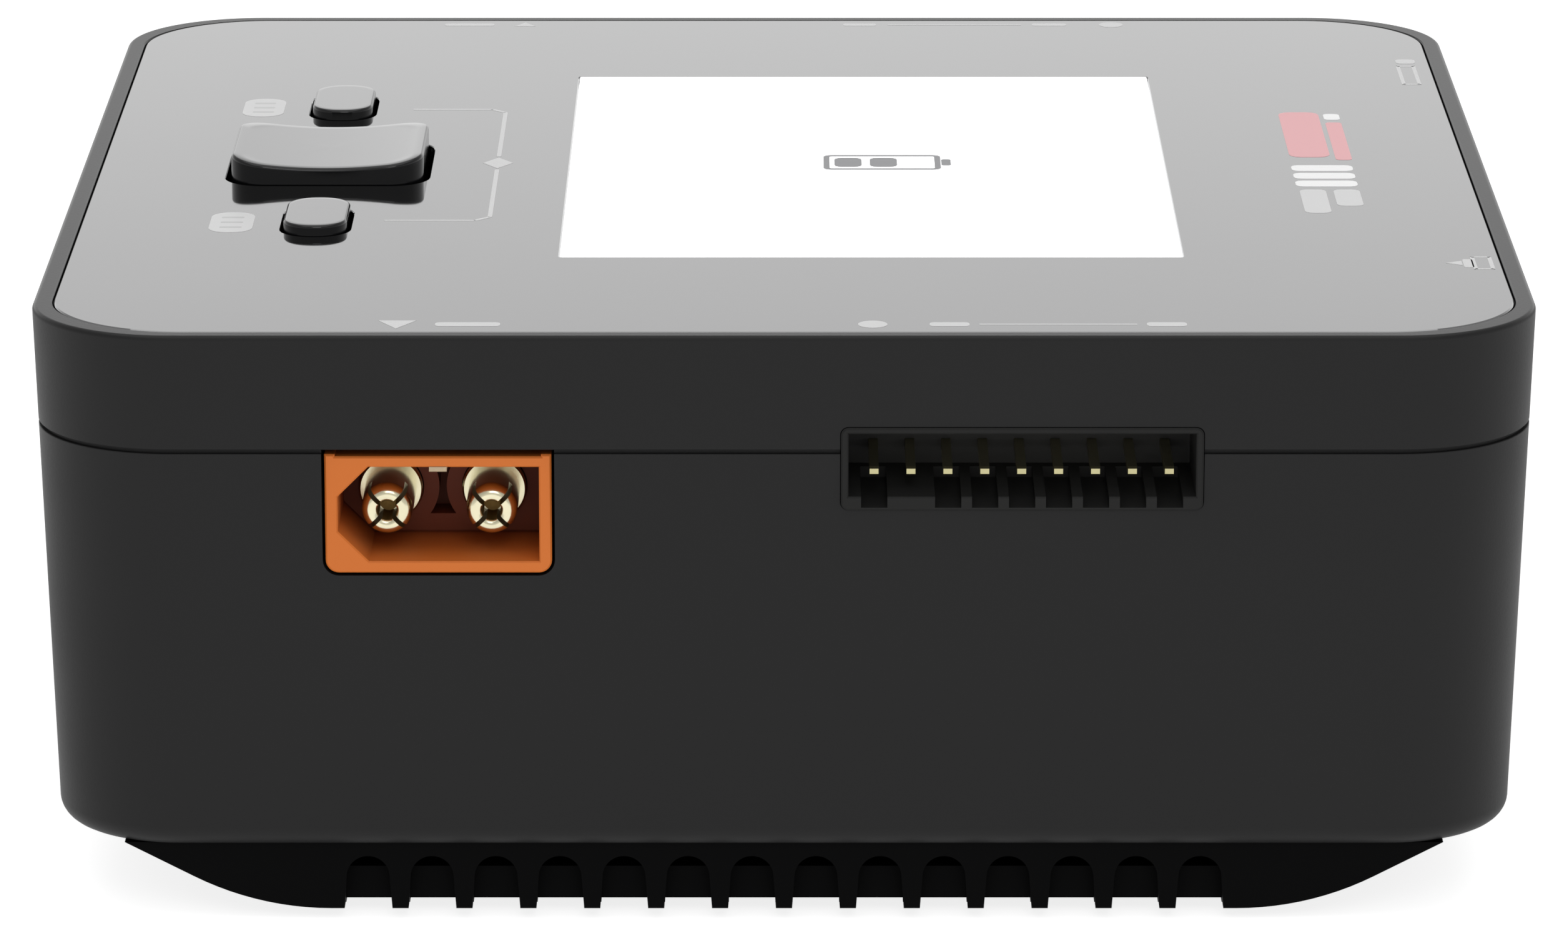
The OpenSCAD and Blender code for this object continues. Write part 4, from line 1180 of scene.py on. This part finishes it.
hub = turned([(0, 13.6), (1, 13.6), (1, 12.6), (10.2, 12.6), (10.2, 2.65), (10.3, 2.6), (10.9, 2.6),
    (11, 2.7), (11, 13.1), (10.75, 13.6), (10.2, 13.95), (9.6, 14), (0, 14)], 72)
rotor = together(hub, *[blade(2 * math.pi * i / blades) for i in range(blades)])
fan_piece("fan_blades", rotor, fan_plastic, "fan_rotor", sharp=40)
spindle = turned([(0, 2.4), (0.85, 2.4), (1, 2.55), (1, 13.45), (0.85, 13.6), (0, 13.6)], 32)
fan_piece("fan_spindle", spindle, steel, "fan_shaft")
ring_magnet = turned_ring([(9.3, 3), (10.1, 3), (10.2, 3.1), (10.2, 11.5), (10.1, 11.6), (9.3, 11.6),
    (9.2, 11.5), (9.2, 3.1)], 72)
fan_piece("fan_ring_magnet", ring_magnet, magnet, "fan_magnet")
bush = turned_ring([(1.04, 2.1), (1.15, 2), (2.35, 2), (2.49, 2.15), (2.49, 10.35), (2.35, 10.5),
    (1.15, 10.5), (1.04, 10.4)])
fan_piece("fan_bush", bush, bronze, "fan_bearing")


# %% Fan windings
def winding(turn):
    """One coil on its pole: a block whose section is a rounded rectangle, bent round the fan's axis."""
    section = rounded(1.0, 1.0, 0.5, 5)
    angle = np.radians(np.linspace(-34, 34, 12))[:, None]
    radius = 6.1 + 2.35 * section[None, :, 0]
    z = 6.7 + 3.35 * section[None, :, 1]
    height = np.broadcast_to(z, radius.shape) + 0 * angle
    return placed(loft(np.stack([radius * np.cos(angle), radius * np.sin(angle), height], -1)), turn=turn)


coils = together(*[winding(45 + 90 * i) for i in range(4)])
fan_piece("fan_windings", coils, copper, "fan_stator", sharp=50)
piece("fan_housing", cad_solid("fan_frame"), fan_plastic, "fan_frame", edge=0.2)
fan_head = turned([(0, 15), (2.6, 15), (2.6, 15.8), (2.3, 16.3), (1.5, 16.4), (0, 16.4)], 36)
cross = block((-1.4, -0.3, 15.7), (1.4, 0.3, 17))
fan_head = carve(fan_head, cross, placed(cross, turn=90))
z = np.arange(-1.6, 15.2, 0.2)
shank = loft([at(circle(1.5 - 0.18 * (i % 4) / 3, 20), height) for i, height in enumerate(z)])
fan_screw = placed(together(fan_head, shank), 0, 0, fan_low)
piece("fan_fasteners", repeated(fan_screw, fan_holes), steel, "fan_screws")
print(f"fan: {blades} blades, 4 windings")

# %% [markdown]
# The heat sink is an extrusion, so its fins are straight and its edges are barely rounded. Under the keys,
# each switch has a body and a round plunger.

# %% Heat sink and switches
piece("finned_sink", cad_solid("heat_sink"), aluminium, "heat_sink", edge=0.1)
board_top = 37.2
switch = carve(box(2.25, 2.25, board_top, board_top + 0.8, 0.1),
    prism(circle(1.05, 32), board_top + 0.15, board_top + 2))
switch_places = [(key_x - 4.5, 0), (key_x + 4.5, 0), (key_x, enter_y), (key_x, back_y)]
piece("switch_housings", repeated(switch, switch_places), switch_plastic, "switch_bodies")
for node, place in zip(("up_plunger", "down_plunger", "enter_plunger", "back_plunger"), switch_places):
    low, high = low_high(node)
    dome = turned([(0, low[2]), (1, low[2]), (1, high[2] - 0.12), (0.85, high[2]), (0, high[2])], 28)
    piece(node + "_button", placed(dome, *place), key_side_plastic, node)
rod = prism(circle(0.6, 28), -8.5, 8.5, 0.12)
piece("rocker_rod", placed(upright(rod), key_x, 0, key_axis), steel, "rocker_pin")

# %% [markdown]
# The remaining parts are plain sheets and blocks on the real charger too, so the engineering meshes stay,
# and only their finish changes.

# %% Finishes on the other parts
finishes = {
    "main_board": board_mask,
    "panel_adhesive": black_tape,
    "lcd_module": display_frame,
    "lcd_cushion": foam,
    "lcd_ribbon": amber_film,
    "key_bracket": bracket_plastic,
    "thermal_pad": pad_silicone,
}
for node, finish in finishes.items():
    mesh = nodes[node].data
    mesh.materials.clear()
    mesh.materials.append(finish)
print(f"{len(finishes)} engineering meshes kept with new finishes")

# %% [markdown]
# A product picture has a white sweep and a big soft sky. The floor is one plain sheet. The sky is a gradient
# by height: the panel mirrors the band just above the horizon behind it, so that band sets the panel's grey.

# %% Floor and light
sheet = bpy.data.meshes.new("floor")
sheet.from_pydata([(-4, -3, 0), (4, -3, 0), (4, 6, 0), (-4, 6, 0)], [], [(0, 1, 2, 3)])
floor = bpy.data.objects.new("floor", sheet)
scene.collection.objects.link(floor)
paper = Shader("white_paper", (0.5, 0.5, 0.5), 0.9, Specular_IOR_Level=0.0, Emission_Strength=0.82,
    Emission_Color=(1.0, 1.0, 1.0, 1.0))
sheet.materials.append(paper.material)

sky = bpy.data.worlds.new("studio")
scene.world = sky
light = Graph(sky, "Background", "Generated")


def ramp(value, start, end):
    """0 at start and 1 at end, held outside."""
    return light.node("MapRange", inputs={"Value": value, "From Min": start, "From Max": end})


low = ramp(light.axis("Z"), 0.40, 0.19)
behind = ramp(light.axis("Y"), -0.1, 0.8)
light.set("Color", (1.0, 1.0, 1.0, 1.0))
light.set("Strength", low * (behind * 0.45 + 0.2) + 0.55)


def soft_light(name, place, size, power):
    """A square lamp that faces the middle of the case."""
    lamp = bpy.data.lights.new(name, "AREA")
    lamp.size = size
    lamp.energy = power
    made = bpy.data.objects.new(name, lamp)
    made.location = place
    made.rotation_euler = (Vector((0, 0, 0.03)) - Vector(place)).to_track_quat("-Z", "Y").to_euler()
    scene.collection.objects.link(made)


soft_light("overhead", (0.0, -0.1, 1.1), 1.3, 5.0)
soft_light("front_fill", (0.1, -1.15, 0.85), 0.5, 2.4)

scene.view_settings.view_transform = "Standard"
